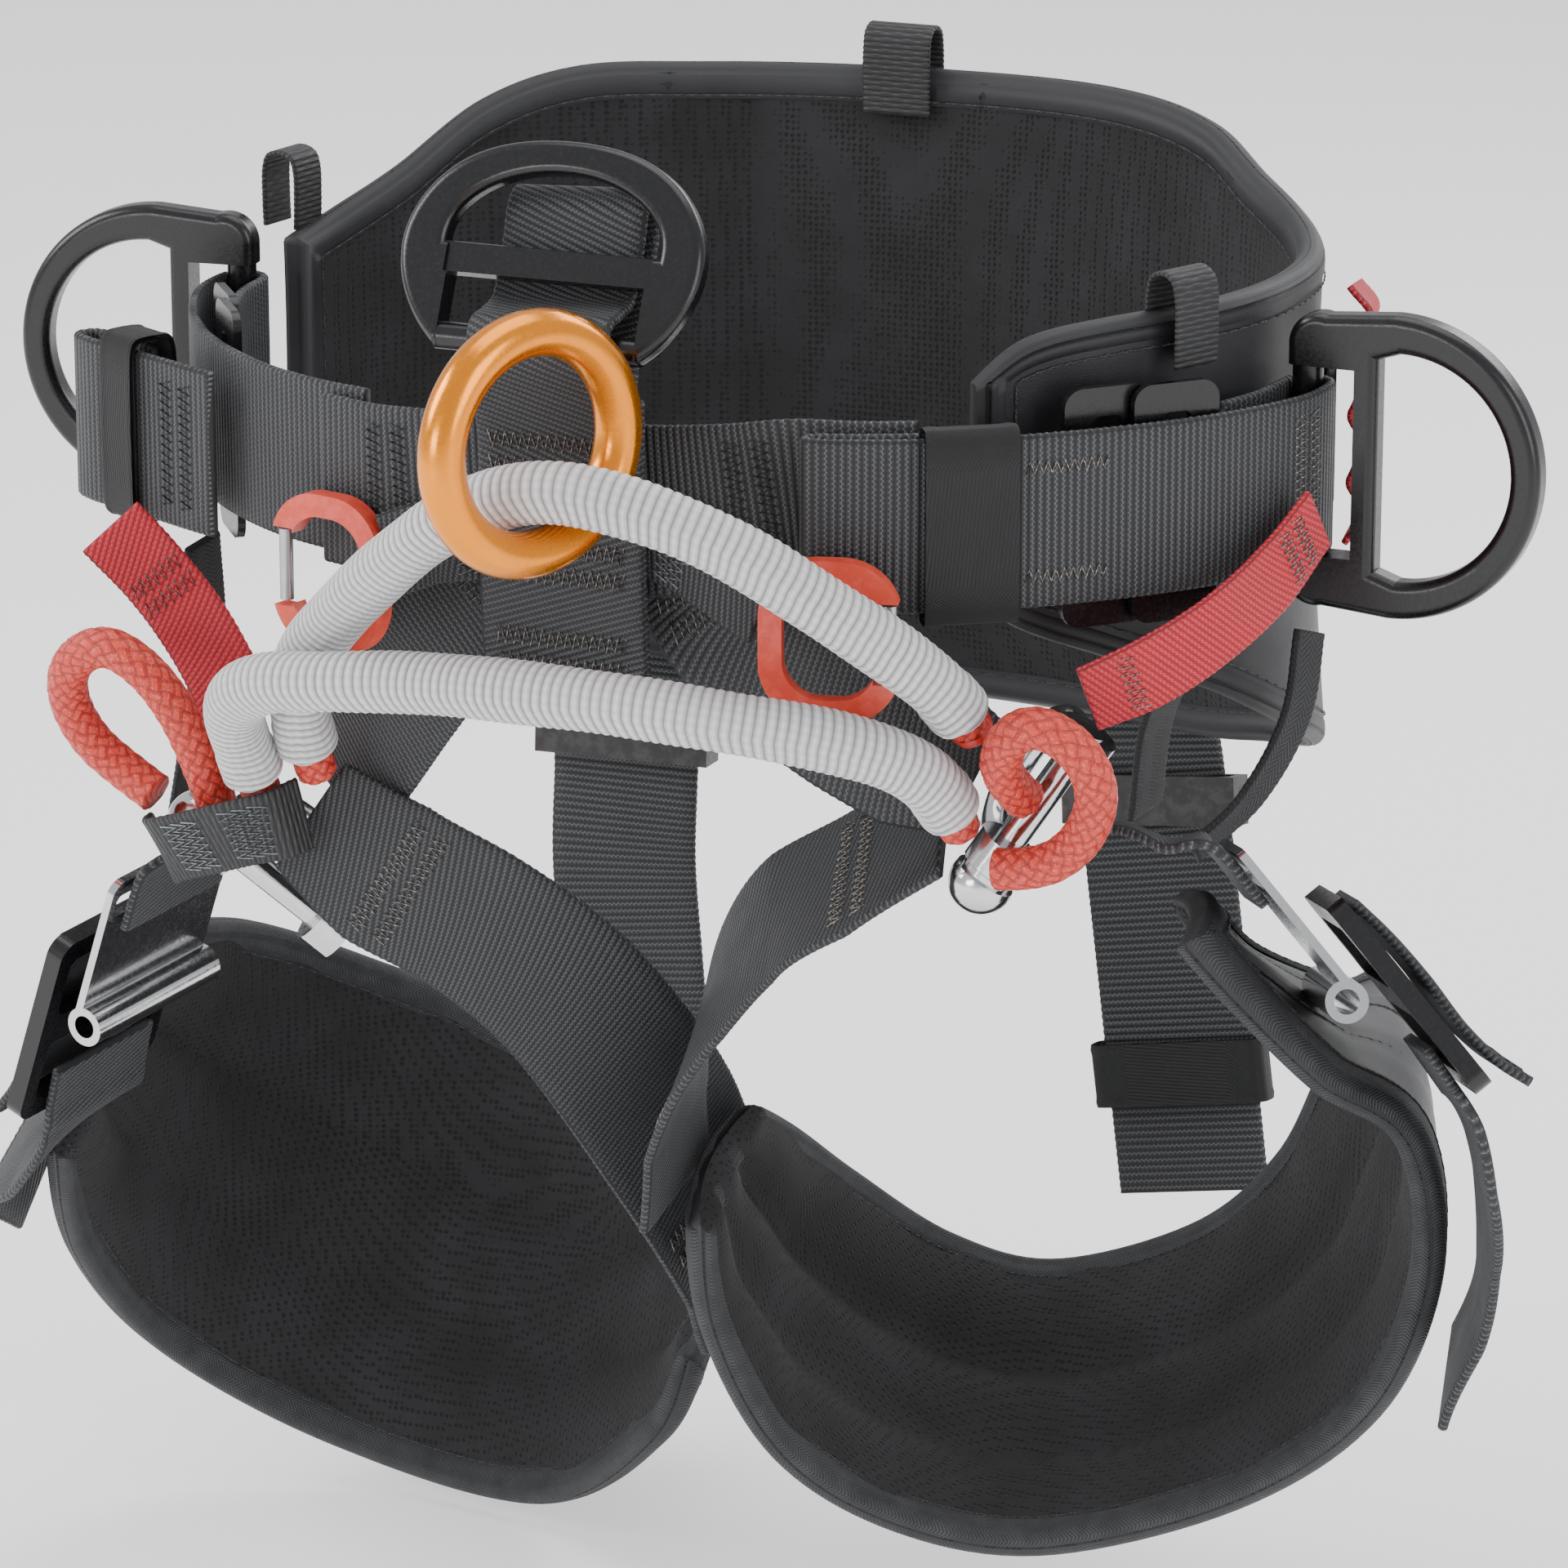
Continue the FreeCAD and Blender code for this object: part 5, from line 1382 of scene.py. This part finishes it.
tack_rows("ventral_tacks", GREY_TACK, ventral, [10, 17, 40, 47, 64, 71], 36)
tack_rows("ring_loop_tacks", GREY_TACK, ring_loop, [6, 13], 32)
tack_rows("yoke_tacks", DARK_TACK, yoke, [18, 26, 120, 128], 36)
tack_rows("belt_right_tacks", GREY_TACK, belt_right, [62, 68], 36)
tack_columns("belt_right_columns", GREY_TACK, belt_right, 128, 150, [-14, 14])
tack_rows("belt_left_tacks", GREY_TACK, belt_left, [66, 72], 36)
tack_rows("belt_tail_tacks", DARK_TACK, belt_tail, [10, 18], 34)
tack_rows("belt_back_tacks", GREY_TACK, belt_back, [24, 30, 120, 126, 230, 236, 360, 366], 36)
edge_seams("belt_back_seams", DARK_TACK, belt_back, 4, belt_back.length - 4, both_faces=False)
tack_rows("riser_left_tacks", GREY_TACK, riser_left, [8, 15], 34)
tack_rows("riser_right_tacks", GREY_TACK, riser_right, [8, 15], 34)
tack_rows("crotch_left_tacks", GREY_TACK, crotch_left, [26, 33, 172, 179], 36)
tack_rows("crotch_right_tacks", GREY_TACK, crotch_right, [26, 33, 126, 133], 36)
tack_rows("rear_left_tacks", GREY_TACK, rear_left, [4, 10, 16, 152, 158], 36)
tack_rows("rear_right_tacks", GREY_TACK, rear_right, [4, 10, 16, 160, 166], 36)
tack_rows("red_right_tacks", GREY_TACK, red_right, [8, 14, red_right.length - 12], 16)
tack_rows("red_tab_tacks", GREY_TACK, red_tab, [18, 24], 16)
tack_rows("rope_tape_tacks", PALE_TACK, rope_tape, [16, 19.5, 23, 34, 37.5, 41], 15)
tack_rows("gear_left_tacks", PALE_TACK, gear_left, [6, 10], 18)
tack_rows("gear_right_tacks", PALE_TACK, gear_right, [6, 10], 18)
for side, (upper, loose, lower) in (("left", legs_left), ("right", legs_right)):
    tack_rows("leg_strap_tacks_" + side, GREY_TACK, lower, [lower.length - 30, lower.length - 22], 34)
    tack_rows("leg_tail_tacks_" + side, DARK_TACK, loose, [loose.length - 10, loose.length - 5], 34)


# ---- small trim ----
def cut_end(name, line, material, rim_material):
    """The melted end of a cut rope: a pale core in a red rim."""
    along = (line[-1] - line[-6]).normalized()
    side, face = frames_along(line[-6:])[-1]
    profile = [(5.55, -2.2), (5.75, -1.0), (5.6, 0.3), (5.0, 0.9), (4.5, 0.7), (4.1, 1.1), (2.4, 1.6),
               (0.05, 1.7)]
    rows = []
    for radius, ahead in profile:
        row = []
        for k in range(40):
            a = 2 * math.pi * k / 40
            lump = 1 + 0.03 * math.sin(3 * a + 1) + 0.02 * math.sin(7 * a)
            row.append(line[-1] + along * ahead + (side * math.cos(a) + face * math.sin(a)) * radius * lump)
        rows.append(row)
    sheets = Sheets()
    sheets.grid(rows[:5], list(range(41)), list(range(5)), closed=True, pick=1)
    sheets.grid(rows[4:], list(range(41)), list(range(4)), closed=True, pick=0)
    return sheets.piece(name, [material, rim_material])


CREAM = plastic("melted_cream", (0.62, 0.52, 0.36), (0.50, 0.40, 0.27), 0.35)
RED_MELT = plastic("melted_red", (0.62, 0.040, 0.028), (0.45, 0.03, 0.02), 0.35)
cut_end("upper_rope_end", upper_line, CREAM, RED_MELT)


def pull_loop(name, foot, rise, width, across, depth=3.4):
    """A folded tape loop that stands on a pad's edge."""
    foot = Vector(foot)
    across = Vector(across).normalized()
    out = Vector((foot.x, foot.y, 0)).normalized()
    out = square_to(out, across)
    up = Vector((0, 0, 1))
    stations = []
    for o, z in ((1.0, -12), (1.05, -4), (1.0, rise * 0.5), (0.75, rise * 0.86), (0.0, rise),
                 (-0.75, rise * 0.86), (-1.0, rise * 0.5), (-1.05, -4), (-1.0, -12)):
        stations.append((foot + out * (o * depth) + up * z, across))
    return web(None, stations, width, 1.3, BLACK_TAPE, name=name, stiff=0.8)


pull_loop("back_loop_middle", (-3, 109.5, 67), 12, 20, (1, 0, 0), 5.2)
pull_loop("back_loop_left", (-151.0, 24, 40), 9, 12, (0.2, 1, 0), 5.2)
pull_loop("back_loop_right", (135.0, -52, 44), 12, 15, (0.45, 0.9, 0), 5.2)


# ---- the room ----
FLOOR_DROP = 0.004
FLOOR_REACH = 14.0


def make_room():
    """A pale floor just below the lowest piece, wide enough to fill the view from any side."""
    floor_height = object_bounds()[0].z - FLOOR_DROP
    corners = [(-FLOOR_REACH, -FLOOR_REACH), (FLOOR_REACH, -FLOOR_REACH), (FLOOR_REACH, FLOOR_REACH),
               (-FLOOR_REACH, FLOOR_REACH)]
    mesh = bpy.data.meshes.new("backdrop")
    mesh.from_pydata([(x, y, floor_height) for x, y in corners], [], [(0, 1, 2, 3)])
    material, tree, shader = new_material("pale_backdrop", 0.9)
    shader.inputs["Base Color"].default_value = (0.90, 0.90, 0.90, 1)
    shader.inputs["Emission Color"].default_value = (1.0, 1.0, 1.0, 1.0)
    shader.inputs["Emission Strength"].default_value = 0.4
    mesh.materials.append(material)
    floor = bpy.data.objects.new("backdrop", mesh)
    bpy.context.collection.objects.link(floor)


def lamp(name, place, target, size, power):
    data = bpy.data.lights.new(name, "AREA")
    data.shape = "RECTANGLE"
    data.size, data.size_y = size
    data.energy = power
    light = bpy.data.objects.new(name, data)
    light.location = place
    light.rotation_euler = (Vector(target) - Vector(place)).to_track_quat("-Z", "Y").to_euler()
    bpy.context.collection.objects.link(light)


def make_lights():
    centre = (0, 0, -0.12)
    lamp("key", (-1.9, -0.8, 1.1), centre, (1.2, 1.2), 32)
    lamp("fill", (1.9, -0.9, 0.6), centre, (1.0, 1.4), 16)
    lamp("top", (0.1, 0.2, 1.8), centre, (1.6, 1.6), 18)
    lamp("rim", (0.6, 1.5, 0.9), centre, (1.2, 0.8), 14)
    lamp("low", (-0.5, -1.7, 0.15), centre, (0.7, 0.4), 6)
    world = bpy.data.worlds.new("room")
    world.use_nodes = True
    world.node_tree.nodes["Background"].inputs["Color"].default_value = (0.93, 0.94, 0.96, 1)
    world.node_tree.nodes["Background"].inputs["Strength"].default_value = 0.85
    bpy.context.scene.world = world


make_room()
make_lights()
